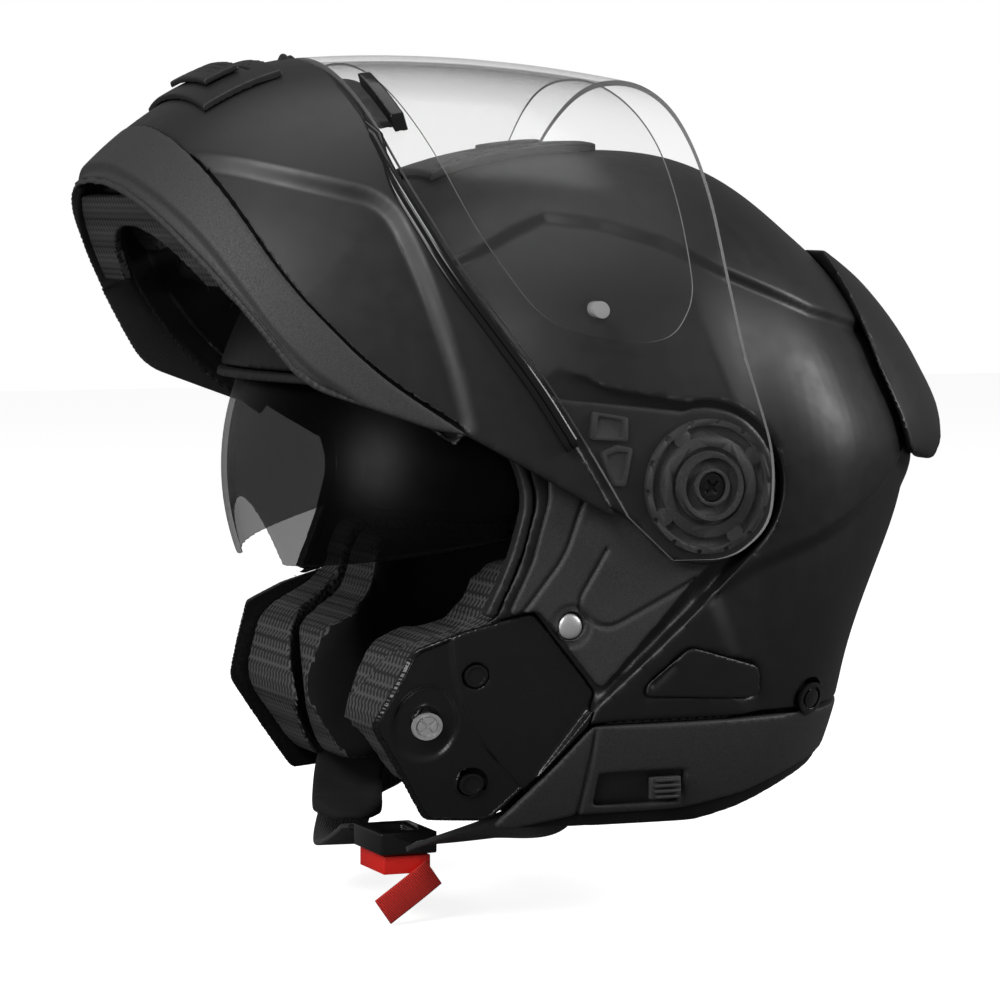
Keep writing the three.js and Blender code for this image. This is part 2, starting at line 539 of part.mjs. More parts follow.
// Clear visor, with a round hole at each pivot and one for each insert pin.
function visorShield() {
  const sheet = bothSides(visorLayer(0, VISOR_WALL), VISOR_OUTLINE);
  return sheet.subtract(rodX(VISOR_BOSS_R + FIT, -REACH, REACH)).subtract(insertPinRod(3.3));
}
function antiFogInsert() {
  return bothSides(visorLayer(VISOR_WALL + 0.4, VISOR_WALL + 1.3), INSERT_OUTLINE).subtract(insertPinRod(5.2));
}
function visorSeal() {
  const outline = [[-102, -63.6], [-135, -69], [-REACH, -61.5], [-REACH, -56.5], [-135, -64], [-102, -58.6]];
  return bothSides(visorLayer(VISOR_WALL + 0.4, VISOR_WALL + 3), outline).subtract(sweptCavity);
}
put(chinGroup, "visor_shield", visorShield(), CLEAR_SHEET);
put(chinGroup, "anti_fog_insert", antiFogInsert(), CLEAR_SHEET);
put(chinGroup, "visor_seal", visorSeal(), RUBBER);
put(chinGroup, "visor_tab", visorLayer(-5, -0.4).intersect(box(22, 200, 5, 62, -160, -58)), CLEAR_SHEET);
for (const [name, side] of Object.entries(SIDES)) {
  const pin = visorLayer(-1.8, VISOR_WALL + 1.6).intersect(rodX(3, ...span(side, 40, REACH), ...INSERT_PIN, 12));
  put(chinGroup, `insert_pin_${name}`, pin, CLEAR_SHEET);
  put(chinGroup, `latch_hook_${name}`, latchHook(side), STEEL);
}
for (const [name, side] of Object.entries(SIDES)) {
  const plate = rodX(24, ...span(side, ARM_OUT + 0.3, PLATE_OUT - 0.3)).add(rodX(VISOR_BOSS_R, ...span(side, ARM_OUT + 0.3, PLATE_OUT + 3)));
  put(chinGroup, `visor_base_plate_${name}`, plate.subtract(rodX(5.4, ...span(side, 0, REACH))), TEXTURED_TRIM);
  put(chinGroup, `pivot_screw_${name}`, rodX(5, ...span(side, ARM_IN + 0.6, PLATE_OUT + 2)), STEEL);
}
const centre = new THREE.Box3().setFromObject(helmet, true).getCenter(new THREE.Vector3());
helmet.position.sub(centre);
export default helmet;
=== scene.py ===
import json
import math

import bmesh
import bpy
import numpy as np
from mathutils import Matrix, Vector
from mathutils.bvhtree import BVHTree
from mathutils.geometry import tessellate_polygon


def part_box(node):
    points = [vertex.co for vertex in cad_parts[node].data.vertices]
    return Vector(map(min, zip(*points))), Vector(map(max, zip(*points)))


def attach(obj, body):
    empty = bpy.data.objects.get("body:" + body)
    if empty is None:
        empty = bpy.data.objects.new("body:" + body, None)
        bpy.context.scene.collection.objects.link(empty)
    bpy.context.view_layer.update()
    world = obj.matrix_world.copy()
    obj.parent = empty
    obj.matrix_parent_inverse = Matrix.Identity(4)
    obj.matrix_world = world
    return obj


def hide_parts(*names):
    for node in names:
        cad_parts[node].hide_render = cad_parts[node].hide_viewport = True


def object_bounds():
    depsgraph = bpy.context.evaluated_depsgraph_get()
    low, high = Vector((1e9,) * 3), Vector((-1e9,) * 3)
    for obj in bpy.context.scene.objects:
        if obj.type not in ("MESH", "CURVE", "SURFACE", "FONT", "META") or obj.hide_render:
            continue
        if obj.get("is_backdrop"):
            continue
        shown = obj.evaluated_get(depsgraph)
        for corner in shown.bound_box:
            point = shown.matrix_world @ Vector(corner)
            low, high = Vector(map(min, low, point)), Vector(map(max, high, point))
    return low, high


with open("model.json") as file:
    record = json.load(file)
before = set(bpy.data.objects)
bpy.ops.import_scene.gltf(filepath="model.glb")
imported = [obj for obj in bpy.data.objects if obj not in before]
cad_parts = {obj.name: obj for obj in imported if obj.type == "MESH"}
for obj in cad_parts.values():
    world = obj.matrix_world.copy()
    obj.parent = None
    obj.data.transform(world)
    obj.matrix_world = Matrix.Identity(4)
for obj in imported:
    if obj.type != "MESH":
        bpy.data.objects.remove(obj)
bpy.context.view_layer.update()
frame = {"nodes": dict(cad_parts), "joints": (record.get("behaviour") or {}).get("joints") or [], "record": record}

# A flip-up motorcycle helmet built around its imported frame. Shapes are worked out in millimetres
# about the chin-bar pivot (-Y forward, +X the wearer's left, +Z up) and placed in metres.

MM = 0.001
JOINTS = {joint["name"]: joint for joint in frame["joints"]}
CHIN_JOINT = JOINTS["chin_bar_hinge"]
PIVOT = Vector(CHIN_JOINT["pos_m"])
OPEN_ANGLE = math.radians(CHIN_JOINT["range_deg"][1])
SUN_PIVOT = (Vector(JOINTS["sun_visor_hinge"]["pos_m"]) - PIVOT) / MM
SIDES = {"left": 1, "right": -1}
REACH = 260.0

# ---------------------------------------------------------------- driving dimensions (mm)
# The shell and the head inside it are egg shapes. The side recess, the chin bar's arms and the visor's
# pivot plates are layers that follow each other outward from the recess floor. The chin bar's cavity is
# swept about the pivot, so it clears the shell at every angle.
SHELL = {
    "side": 118.6, "bulge": 7, "brow": 142, "jaw": 188,
    "rear": 122, "nape": 98, "top": 120, "bottom": 176,
}
HEAD = {"side": 79, "bulge": 0, "brow": 98, "jaw": 98, "rear": 101, "nape": 92, "top": 88, "bottom": 220}
WALL = 4.0
PAD = 9.0
FLOOR = 108.6
PANEL_TOP = FLOOR + 2.8
ARM_IN = PANEL_TOP + 0.8
ARM_OUT = ARM_IN + 3.6
PLATE_OUT = ARM_OUT + 3.0
SWEEP_R = 178.0
SWEEP_POWER = 3.2
ARM_R = 28.0
RECESS_R = 30.5
REST_Z = -124.0
VISOR_WALL = 2.2
SUN = {"radius": 97.0, "half_width": 99.0, "power": 2.2, "wall": 2.2}

# ---------------------------------------------------------------- outlines in the side view (y, z)
# Corners only: smooth_path and rounded turn them into curves. A corner at REACH lies beyond the helmet.
EYE_PORT = [(-REACH, 44), (-118, 39), (-82, 29), (-66, 13), (-61, -4), (-67, -26), (-76, -46), (-104, -57)]
CHEEK_FRONT = [(-115, -85), (-92, -121)]
LATCH_CORNER = (-41, -80)
GASKET_LINE = [(0, -37), (-52, -50), (-100, -65), (-135, -69.5), (-REACH, -62)]
TRIM_SEAM = [(-REACH, -134), (-174, -130), (-113, -121), (-75, -104), (-45, -80)]
VISOR_TOP = [
    (-REACH, 60), (-134, 55), (-107, 45), (-72, 33), (-42, 27), (-2, 26.5), (20, 18), (27, 0), (20, -22),
]
LATCH_PIN = (-98, -84)
COMM_COVER = [(-21, -75), (-21, -71), (-5, -57.5), (23.5, -66), (25, -76), (21, -77.5)]
STRAP_RIVET = (-49, -49)
PLUG = (50, -80)
PLUG_R = 6.0
RIVET_R = 4.5
SHELL_EDGE = EYE_PORT + CHEEK_FRONT + [
    (-72, -121), (-41, -84.5), (-30, -84), (90, -84), (REACH, -80), (REACH, 200), (-REACH, 200),
]
PLATE_ZONE = [
    (-130, -62.5), (-88, -50.5), (-62, -43.8), (-38.5, -73), (-41.3, -85), (-72, -130), (-130, -130),
]
SHELL_VOXEL = 1.3


# ---------------------------------------------------------------- mesh helpers
def new_object(name, verts, faces):
    mesh = bpy.data.meshes.new(name)
    mesh.from_pydata([tuple(v) for v in verts], [], [tuple(f) for f in faces])
    mesh.update()
    obj = bpy.data.objects.new(name, mesh)
    bpy.context.scene.collection.objects.link(obj)
    return obj


def evaluated(obj):
    """Replaces obj's mesh by the result of its modifiers."""
    bpy.context.view_layer.update()
    graph = bpy.context.evaluated_depsgraph_get()
    mesh = bpy.data.meshes.new_from_object(obj.evaluated_get(graph))
    obj.modifiers.clear()
    obj.data = mesh
    return obj


def combine(a, b, operation):
    """Boolean of two closed objects. b is used up."""
    cut = a.modifiers.new("cut", "BOOLEAN")
    cut.operation = operation
    cut.solver = "MANIFOLD"
    cut.object = b
    evaluated(a)
    bpy.data.objects.remove(b)
    return a


def minus(a, *others):
    for other in others:
        combine(a, other, "DIFFERENCE")
    return a


def meet(a, *others):
    for other in others:
        combine(a, other, "INTERSECT")
    return a


def plus(a, *others):
    for other in others:
        combine(a, other, "UNION")
    return a


def grid_faces(rows, columns, wrap=True):
    """Quads of a rows x columns grid of vertices, facing out for rows going up and columns going round."""
    faces = []
    last = columns if wrap else columns - 1
    for r in range(rows - 1):
        for c in range(last):
            n = (c + 1) % columns
            faces.append((r * columns + c, r * columns + n, (r + 1) * columns + n, (r + 1) * columns + c))
    return faces


def capped_grid(rings):
    """A closed solid from stacked rings of points, each an (n, 3) array, with a flat cap at each end."""
    rows, columns = len(rings), len(rings[0])
    verts = np.concatenate(rings)
    faces = grid_faces(rows, columns)
    faces.append(tuple(reversed(range(columns))))
    faces.append(tuple(range((rows - 1) * columns, rows * columns)))
    return verts, faces


def smoothstep(v, low, high):
    t = np.clip((v - low) / (high - low), 0, 1)
    return t * t * (3 - 2 * t)


def head_form(form, offset=0.0, columns=160, rows=100):
    """Egg-shaped body round the head, moved inward by offset. Its lower front runs forward into the jaw."""
    lat = np.linspace(-math.pi / 2, math.pi / 2, rows + 2)[1:-1]
    lon = np.linspace(0, 2 * math.pi, columns, endpoint=False)
    dz = np.sin(lat)[:, None] * np.ones(columns)
    dx = np.cos(lat)[:, None] * np.cos(lon)
    dy = np.cos(lat)[:, None] * np.sin(lon)
    d = np.stack([dx, dy, dz], -1).reshape(-1, 3)
    points = head_surface(form, d, offset)
    poles = head_surface(form, np.array([[0, 0, -1.0], [0, 0, 1.0]]), offset)
    verts = np.concatenate([points, poles])
    faces = grid_faces(rows, columns)
    low, high = len(points), len(points) + 1
    top = (rows - 1) * columns
    for c in range(columns):
        n = (c + 1) % columns
        faces.append((n, c, low))
        faces.append((top + c, top + n, high))
    return new_object("form", verts, faces)


def head_surface(form, d, offset):
    """Points of the head form in the directions d."""
    lat = np.degrees(np.arcsin(np.clip(d[:, 2], -1, 1)))
    jaw = smoothstep(-lat, -8, 32)
    front = form["brow"] + (form["jaw"] - form["brow"]) * jaw
    rear = form["rear"] + (form["nape"] - form["rear"]) * smoothstep(-lat, -6, 36)
    side = form["side"] + form["bulge"] * smoothstep(d[:, 1], 0.15, 0.5)
    p = np.where(d[:, 1] < 0, 2.2 + 0.4 * jaw, 2.2)
    q = 2.3 - 0.5 * smoothstep(d[:, 1], 0, 0.6) * smoothstep(d[:, 2], -0.1, 0.3)
    depth = np.where(d[:, 1] < 0, front, rear) - offset
    height = np.where(d[:, 2] > 0, form["top"], form["bottom"]) - offset
    plan = (np.abs(d[:, 0]) / (side - offset)) ** p + (np.abs(d[:, 1]) / depth) ** p
    rise = (np.abs(d[:, 2]) / height) ** q
    return d * ((plan ** (q / p) + rise) ** (-1 / q))[:, None]


def ring_across_x(x, radius, centre, columns):
    """Points of a circle about an axis along X."""
    turn = np.linspace(0, 2 * math.pi, columns, endpoint=False)
    y = centre[0] + radius * np.cos(turn)
    z = centre[1] + radius * np.sin(turn)
    return np.stack([np.full(columns, x), y, z], -1)


def swept_body(half_width, close_radius, power=SWEEP_POWER, steps=48, columns=144, centre=(0, 0)):
    """The body swept by turning about an axis along X: its half-width, and the radius where it closes."""
    t = np.linspace(-math.pi / 2, math.pi / 2, 2 * steps + 1)[1:-1]
    along = np.sign(np.sin(t)) * np.abs(np.sin(t)) ** (2 / power) * half_width
    out = np.abs(np.cos(t)) ** (2 / power) * close_radius
    rings = [ring_across_x(x, r, centre, columns) for x, r in zip(along, out)]
    return new_object("swept", *capped_grid(rings))


def stacked_form(form, z0, z1, offset=0.0, columns=240, rows=40):
    """Plan-view ovals stacked by height."""
    turn = np.linspace(0, 2 * math.pi, columns, endpoint=False)
    bend = 2 / form["power"]
    cx = np.sign(np.cos(turn)) * np.abs(np.cos(turn)) ** bend
    cy = np.sign(np.sin(turn)) * np.abs(np.sin(turn)) ** bend
    rings = []
    for z in np.linspace(z0, z1, rows + 1):
        depth = np.where(cy < 0, form["front"](z), 300.0) - offset
        x = cx * (form["half_width"](z) - offset)
        rings.append(np.stack([x, cy * depth, np.full(columns, z)], -1))
    return new_object("stacked", *capped_grid(rings))


CHIN_FORM = {
    "half_width": lambda z: 120.5 - 0.0008 * z * z,
    "front": lambda z: 182 - 0.0042 * (z + 85) ** 2,
    "power": 2.3,
}
VISOR_FORM = {
    "half_width": lambda z: 123 - (0.0022 if z > 0 else 0.0008) * z * z,
    "front": lambda z: 160.5 - 0.38 * z - 0.0012 * z * z,
    "power": 2.2,
}


def corner(a, b, c, radius, steps):
    """Points of a curve that rounds off the corner at b, on the way from a to c."""
    share = np.linspace(0, 1, steps)
    a, b, c = (np.array(p, float) for p in (a, b, c))
    into, away = a - b, c - b
    reach = min(radius, 0.45 * np.linalg.norm(into), 0.45 * np.linalg.norm(away))
    start = b + into / np.linalg.norm(into) * reach
    end = b + away / np.linalg.norm(away) * reach
    return [tuple((1 - t) ** 2 * start + 2 * t * (1 - t) * b + t * t * end) for t in share]


def rounded(points, radius, steps=6):
    """A closed outline with its corners rounded off."""
    result = []
    for a, b, c in zip(points[-1:] + points[:-1], points, points[1:] + points[:1]):
        result += corner(a, b, c, radius, steps)
    return result


def smooth_path(points, radius=10.0, steps=7):
    """An open line with its inner corners rounded off."""
    result = [points[0]]
    for a, b, c in zip(points, points[1:], points[2:]):
        result += corner(a, b, c, radius, steps)
    return result + [points[-1]]


def side_prism(points, x0=-REACH, x1=REACH):
    """A side-view outline in (y, z), extruded along X."""
    flat = [Vector((y, z, 0)) for y, z in points]
    area = sum(a.x * b.y - b.x * a.y for a, b in zip(flat, flat[1:] + flat[:1]))
    if area < 0:
        flat.reverse()
    count = len(flat)
    caps = tessellate_polygon([flat])
    verts = [(x, p.x, p.y) for x in (x0, x1) for p in flat]
    faces = []
    for a, b, c in caps:
        turn = (flat[b] - flat[a]).cross(flat[c] - flat[a]).z
        a, c = (a, c) if turn > 0 else (c, a)
        faces.append((c, b, a))
        faces.append((a + count, b + count, c + count))
    for i in range(count):
        n = (i + 1) % count
        faces.append((i, n, n + count, i + count))
    return new_object("prism", verts, faces)


def rod_x(radius, x0=-REACH, x1=REACH, centre=(0, 0), sides=72):
    return new_object("rod", *capped_grid([ring_across_x(x, radius, centre, sides) for x in (x0, x1)]))


def side_name(side):
    return "left" if side > 0 else "right"


def span(side, inner, outer):
    return (inner, outer) if side > 0 else (-outer, -inner)


def block(size, centre, turn_x=0.0):
    sx, sy, sz = (s / 2 for s in size)
    ring = np.array([(-sx, -sy), (sx, -sy), (sx, sy), (-sx, sy)])
    rings = [np.column_stack([ring, np.full(4, z)]) for z in (-sz, sz)]
    verts, faces = capped_grid(rings)
    turn = np.array(Matrix.Rotation(turn_x, 3, "X"))
    return new_object("block", verts @ turn.T + np.array(centre), faces)


# ---------------------------------------------------------------- the helmet's surfaces
def recess_body(offset=0.0):
    return swept_body(FLOOR - offset, SWEEP_R - ARM_IN + FLOOR - offset)


def recess_prism(grow=0.0):
    """Forward of the pivot circle and of the line down to the latch corner."""
    upper = [(-REACH, 70), (-140, 68), (-100, 58), (-62, 46), (-36, 35), (-6, 29.5)]
    points = [(y, z + grow) for y, z in upper]
    for angle in np.radians(np.linspace(98, -52, 30)):
        points.append(((RECESS_R + grow) * math.cos(angle), (RECESS_R + grow) * math.sin(angle)))
    points.append((LATCH_CORNER[0] + grow * 0.7, LATCH_CORNER[1] - grow * 0.7))
    points += [(-72 + grow, -124), (-72 + grow, -REACH), (-REACH, -REACH)]
    return side_prism(points)


def hull(offset=0.0):
    """The helmet's outer surface with its side recess, moved inward by offset."""
    return minus(head_form(SHELL, offset), minus(recess_prism(offset), recess_body(offset)))


def layer(surface, outer, inner):
    return minus(surface(outer), surface(inner))


def visor_layer(outer, inner):
    return minus(stacked_form(VISOR_FORM, -80, 70, outer), stacked_form(VISOR_FORM, -85, 75, inner))


def chin_layer(outer, inner):
    return minus(stacked_form(CHIN_FORM, -165, 0, outer), stacked_form(CHIN_FORM, -170, 5, inner))


# ---------------------------------------------------------------- soft pieces
CUSHION_VOXEL = 5.0
CUSHION_CAP = 6.0
CUSHION_FRAMES = 20
CUSHION_PRESSURE = 4.0


def cushion(obj, node):
    """Puffs a pad up as stuffed cloth and keeps it inside the space of its CAD node."""
    remesh = obj.modifiers.new("even", "REMESH")
    remesh.mode = "VOXEL"
    remesh.voxel_size = CUSHION_VOXEL
    evaluated(obj)
    obj.data.transform(Matrix.Scale(MM, 4))
    rest = vertex_array(obj.data)
    cloth = obj.modifiers.new("cloth", "CLOTH")
    cloth.settings.use_pressure = True
    cloth.settings.uniform_pressure_force = CUSHION_PRESSURE
    cloth.settings.effector_weights.gravity = 0
    cloth.point_cache.frame_start = 1
    cloth.point_cache.frame_end = CUSHION_FRAMES
    scene = bpy.context.scene
    for frame_number in range(1, CUSHION_FRAMES + 1):
        scene.frame_set(frame_number)
    evaluated(obj)
    scene.frame_set(1)
    obj.data.transform(Matrix.Scale(1 / MM, 4))
    moved = vertex_array(obj.data) - rest / MM
    size = np.linalg.norm(moved, axis=1)[:, None]
    held = rest / MM + moved * np.minimum(1, CUSHION_CAP / np.maximum(size, 1e-6))
    obj.data.vertices.foreach_set("co", kept_inside(held, node).ravel())
    obj.data.update()
    rounder = obj.modifiers.new("rounder", "SUBSURF")
    rounder.levels = 1
    return evaluated(obj)


def vertex_array(mesh, attribute="co"):
    values = np.empty(len(mesh.vertices) * 3)
    mesh.vertices.foreach_get(attribute, values)
    return values.reshape(-1, 3)


def kept_inside(points, node, gap=0.4):
    """Points moved back to just inside a CAD node's surface where they are outside it."""
    cad = frame["nodes"][node]
    mesh = bmesh.new()
    mesh.from_mesh(cad.data)
    mesh.transform(Matrix.Scale(1 / MM, 4) @ Matrix.Translation(-PIVOT))
    tree = BVHTree.FromBMesh(mesh)
    mesh.free()
    result = points.copy()
    for i, point in enumerate(points):
        place, normal, _, _ = tree.find_nearest(Vector(point))
        if (Vector(point) - place).dot(normal) > -gap:
            result[i] = place - normal * gap
    return result


# ---------------------------------------------------------------- placing pieces
def to_frame(obj, chin=False):
    """Moves a piece from millimetres about the pivot to its place; chin pieces turn up from closed."""
    turn = Matrix.Rotation(-OPEN_ANGLE, 4, "X") if chin else Matrix.Identity(4)
    obj.data.transform(Matrix.Translation(PIVOT) @ turn @ Matrix.Scale(MM, 4))
    return obj


def soften(obj, voxel, smooth=4):
    """Moulded edges: an even mesh with its sharp edges relaxed."""
    remesh = obj.modifiers.new("even", "REMESH")
    remesh.mode = "VOXEL"
    remesh.voxel_size = voxel
    relax = obj.modifiers.new("relax", "SMOOTH")
    relax.factor = 0.5
    relax.iterations = smooth
    return evaluated(obj)


def piece(obj, node, material, chin=False, name=None):
    """Lets a finished shape stand for its CAD node, riding on that node's body."""
    to_frame(obj, chin)
    obj.name = name or node + "_form"
    obj.data.name = obj.name
    if obj.data.materials:
        obj.data.materials[0] = material
    else:
        obj.data.materials.append(material)
    obj.data.polygons.foreach_set("use_smooth", [True] * len(obj.data.polygons))
    body = next(b for b, nodes in frame["record"]["behaviour"]["bodies"].items() if node in nodes)
    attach(obj, body)
    if name is None:
        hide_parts(node)
    return obj


def two_part(obj, second, chosen):
    """A second material on the faces that chosen(polygon) picks."""
    obj.data.materials.clear()
    obj.data.materials.append(None)
    obj.data.materials.append(second)
    for polygon in obj.data.polygons:
        polygon.material_index = int(chosen(polygon))
    return obj


def crisp(obj, angle=30):
    """Flat shading across edges sharper than the angle, in degrees."""
    mesh = bmesh.new()
    mesh.from_mesh(obj.data)
    for edge in mesh.edges:
        edge.smooth = not (edge.is_manifold and edge.calc_face_angle(0) > math.radians(angle))
    mesh.to_mesh(obj.data)
    mesh.free()
    return obj


def bevelled(obj, width=0.4, segments=2, angle=35):
    """Small rounded edges on a shape that keeps its flat faces."""
    weld = obj.modifiers.new("weld", "WELD")
    weld.merge_threshold = 0.01
    bevel = obj.modifiers.new("bevel", "BEVEL")
    bevel.width = width
    bevel.segments = segments
    bevel.limit_method = "ANGLE"
    bevel.angle_limit = math.radians(angle)
    return crisp(evaluated(obj), 40)


# ---------------------------------------------------------------- materials
class Shader:
    """A node material with object coordinates ready for its grain."""

    def __init__(self, name, color, roughness):
        self.material = bpy.data.materials.new(name)
        self.material.use_nodes = True
        self.tree = self.material.node_tree
        self.surface = self.tree.nodes["Principled BSDF"]
        self.surface.inputs["Base Color"].default_value = (*color, 1)
        self.surface.inputs["Roughness"].default_value = roughness
        self.place = self.add("TexCoord").outputs["Object"]

    def add(self, kind, **inputs):
        prefix = "" if kind.startswith("ShaderNode") else "ShaderNode"
        made = self.tree.nodes.new(prefix + kind)
        for key, value in inputs.items():
            socket = made.inputs[key.replace("_", " ")]
            if isinstance(value, bpy.types.NodeSocket):
                self.tree.links.new(value, socket)
            else:
                socket.default_value = value
        return made

    def link(self, source, socket):
        self.tree.links.new(source, socket)

    def noise(self, size_mm, detail=3.0):
        scale = 1 / (size_mm * MM)
        return self.add("TexNoise", Vector=self.place, Scale=scale, Detail=detail).outputs["Fac"]

    def math(self, operation, a, b=0.0):
        made = self.add("Math")
        made.operation = operation
        for socket, value in zip(made.inputs, (a, b)):
            if isinstance(value, bpy.types.NodeSocket):
                self.link(value, socket)
            else:
                socket.default_value = value
        return made.outputs["Value"]

    def weave(self, pitch_mm):
        """A gyroid's value, nought to one: even holes on a surface that lies any way round."""
        mapped = self.add("Mapping", Vector=self.place)
        mapped.inputs["Scale"].default_value = (2 * math.pi / (pitch_mm * MM),) * 3
        axes = self.add("SeparateXYZ", Vector=mapped.outputs["Vector"]).outputs
        total = 0.0
        for a, b in ("XY", "YZ", "ZX"):
            term = self.math("MULTIPLY", self.math("SINE", axes[a]), self.math("COSINE", axes[b]))
            total = self.math("ADD", term, total)
        return self.between(total, -1.5, 1.5)

    def between(self, value, low, high, to_low=0.0, to_high=1.0):
        made = self.add("MapRange", Value=value)
        made.inputs["From Min"].default_value = low
        made.inputs["From Max"].default_value = high
        made.inputs["To Min"].default_value = to_low
        made.inputs["To Max"].default_value = to_high
        return made.outputs["Result"]

    def bump(self, height, strength, depth_mm):
        made = self.add("Bump", Height=height, Strength=strength, Distance=depth_mm * MM)
        if self.surface.inputs["Normal"].is_linked:
            self.link(self.surface.inputs["Normal"].links[0].from_socket, made.inputs["Normal"])
        self.link(made.outputs["Normal"], self.surface.inputs["Normal"])

    def vary_color(self, value, dark, light):
        ramp = self.add("ValToRGB", Fac=value)
        ramp.color_ramp.elements[0].color = (*dark, 1)
        ramp.color_ramp.elements[1].color = (*light, 1)
        self.link(ramp.outputs["Color"], self.surface.inputs["Base Color"])
        return ramp

    def vary_roughness(self, value, low, high):
        self.link(self.between(value, 0.3, 0.7, low, high), self.surface.inputs["Roughness"])


def grey(value):
    return (value, value, value)


def matte_paint(name, level, roughness=0.42):
    """Satin black paint: a very fine orange peel and faint wear in its sheen."""
    shader = Shader(name, grey(level), roughness)
    shader.vary_color(shader.noise(18), grey(level * 0.92), grey(level * 1.1))
    shader.vary_roughness(shader.noise(7), roughness - 0.03, roughness + 0.05)
    shader.bump(shader.noise(0.35), 0.12, 0.05)
    return shader.material


def grained_plastic(name, level, roughness=0.6):
    """Moulded plastic with a sparkling leather grain."""
    shader = Shader(name, grey(level), roughness)
    grain = shader.noise(0.45, 5)
    shader.vary_color(shader.between(grain, 0.35, 0.7), grey(level * 0.7), grey(level * 1.5))
    shader.vary_roughness(shader.noise(0.6), roughness - 0.12, roughness + 0.12)
    shader.bump(grain, 0.5, 0.12)
    return shader.material


def gloss_plastic(name, color=(0.008, 0.008, 0.008), roughness=0.12):
    shader = Shader(name, color, roughness)
    shader.vary_roughness(shader.noise(5), roughness * 0.7, roughness * 1.5)
    shader.bump(shader.noise(9), 0.06, 0.2)
    return shader.material


def rubber_skin(name, level=0.012, roughness=0.5):
    shader = Shader(name, grey(level), roughness)
    shader.vary_roughness(shader.noise(3), roughness - 0.08, roughness + 0.08)
    shader.bump(shader.noise(0.5), 0.25, 0.06)
    return shader.material


def open_mesh(name, level=0.034, pitch=3.5):
    """Knitted air-mesh: rows of small open cells between shiny ribs."""
    shader = Shader(name, grey(level), 0.7)
    weave = shader.weave(pitch)
    hole = shader.between(weave, 0.36, 0.52)
    fibre = shader.noise(0.4, 2)
    rib = shader.add("MixRGB", Fac=0.3, Color1=hole, Color2=fibre)
    shader.vary_color(rib.outputs["Color"], grey(level * 0.05), grey(level * 2.6))
    shader.bump(hole, 1.0, 1.2)
    shader.bump(fibre, 0.5, 0.2)
    return shader.material


def velvet(name, level=0.008):
    shader = Shader(name, grey(level), 0.95)
    pile = shader.noise(0.5, 4)
    shader.vary_color(shader.noise(12), grey(level * 0.7), grey(level * 1.6))
    shader.bump(pile, 0.6, 0.25)
    shader.surface.inputs["Sheen Weight"].default_value = 0.07
    shader.surface.inputs["Sheen Roughness"].default_value = 0.35
    shader.surface.inputs["Specular IOR Level"].default_value = 0.15
    return shader.material


def foam_bead(name, level=0.02):
    shader = Shader(name, grey(level), 0.85)
    beads = shader.add("TexVoronoi", Vector=shader.place, Scale=1 / (3.2 * MM))
    spread = shader.between(beads.outputs["Distance"], 0.1, 0.6)
    shader.vary_color(spread, grey(level * 1.3), grey(level * 0.5))
    shader.bump(beads.outputs["Distance"], -0.5, 0.4)
    return shader.material


def webbing(name, color, pitch=0.55):
    """Woven strap: herringbone ribs with fine threads."""
    shader = Shader(name, color, 0.75)
    ribs = shader.add("TexWave", Vector=shader.place, Scale=0.32 / (pitch * MM), Distortion=1.2)
    ribs.bands_direction = "DIAGONAL"
    weave = ribs.outputs["Fac"]
    shader.vary_color(weave, tuple(c * 0.45 for c in color), tuple(min(1, c * 1.25) for c in color))
    shader.bump(weave, 0.8, 0.35)
    shader.bump(shader.noise(0.3), 0.4, 0.12)
    shader.surface.inputs["Sheen Weight"].default_value = 0.1
    return shader.material


def brushed_steel(name, level=0.62, roughness=0.34):
    shader = Shader(name, grey(level), roughness)
    shader.surface.inputs["Metallic"].default_value = 0.6
    mapped = shader.add("Mapping", Vector=shader.place)
    mapped.inputs["Scale"].default_value = (1, 8, 1)
    lines = shader.add("TexNoise", Vector=mapped.outputs["Vector"], Scale=1 / (1.2 * MM), Detail=3.0)
    shader.vary_roughness(lines.outputs["Fac"], roughness - 0.08, roughness + 0.12)
    shader.bump(lines.outputs["Fac"], 0.15, 0.05)
    return shader.material


def clear_sheet(name, tint, gloss=0.14, shine_ahead=0.02, wear=0.06):
    """Polycarbonate: see-through, a little tinted, glossy towards its edges, with faint scuffs."""
    shader = Shader(name, tint, gloss)
    clear = shader.add("BsdfTransparent", Color=(*tint, 1))
    shine = shader.add("BsdfAnisotropic", Color=(1, 1, 1, 1))
    shader.link(shader.between(shader.noise(6), 0.35, 0.75, gloss, gloss + wear), shine.inputs["Roughness"])
    facing = shader.add("LayerWeight", Blend=0.5).outputs["Facing"]
    edge = shader.between(shader.math("POWER", facing, 5.0), 0, 1, shine_ahead, 0.45)
    mix = shader.add("MixShader", Fac=edge)
    shader.link(clear.outputs["BSDF"], mix.inputs[1])
    shader.link(shine.outputs["BSDF"], mix.inputs[2])
    output = shader.tree.nodes["Material Output"]
    shader.link(mix.outputs["Shader"], output.inputs["Surface"])
    return shader.material


MATTE = matte_paint("matte_shell_paint", 0.008)
SATIN = matte_paint("satin_chin_paint", 0.014, 0.4)
TRIM = grained_plastic("grained_trim", 0.032)
GLOSS = gloss_plastic("gloss_black")
PLATE = gloss_plastic("gloss_plate", grey(0.009), 0.2)
RUBBER = rubber_skin("seal_rubber")
MESH = open_mesh("open_mesh_knit")
PILE = velvet("velvet_lining")
SOFT = velvet("soft_black_cloth", 0.012)
FOAM = foam_bead("bead_foam")
STEEL = brushed_steel("brushed_steel")
# A darkened copy of the brushed steel for the latch hooks: its near-black base colour is painted shade.
SHADED_STEEL = brushed_steel("shade_darkened_steel", 0.04, 0.45)
RED = gloss_plastic("red_plastic", (0.8, 0.018, 0.012), 0.35)
RED_WEB = webbing("red_webbing", (0.8, 0.025, 0.016))
BLACK_WEB = webbing("black_webbing", grey(0.02))
CLEAR = clear_sheet("clear_polycarbonate", grey(0.985))
CLEAR_EDGE = gloss_plastic("polished_edge", grey(0.3), 0.18)
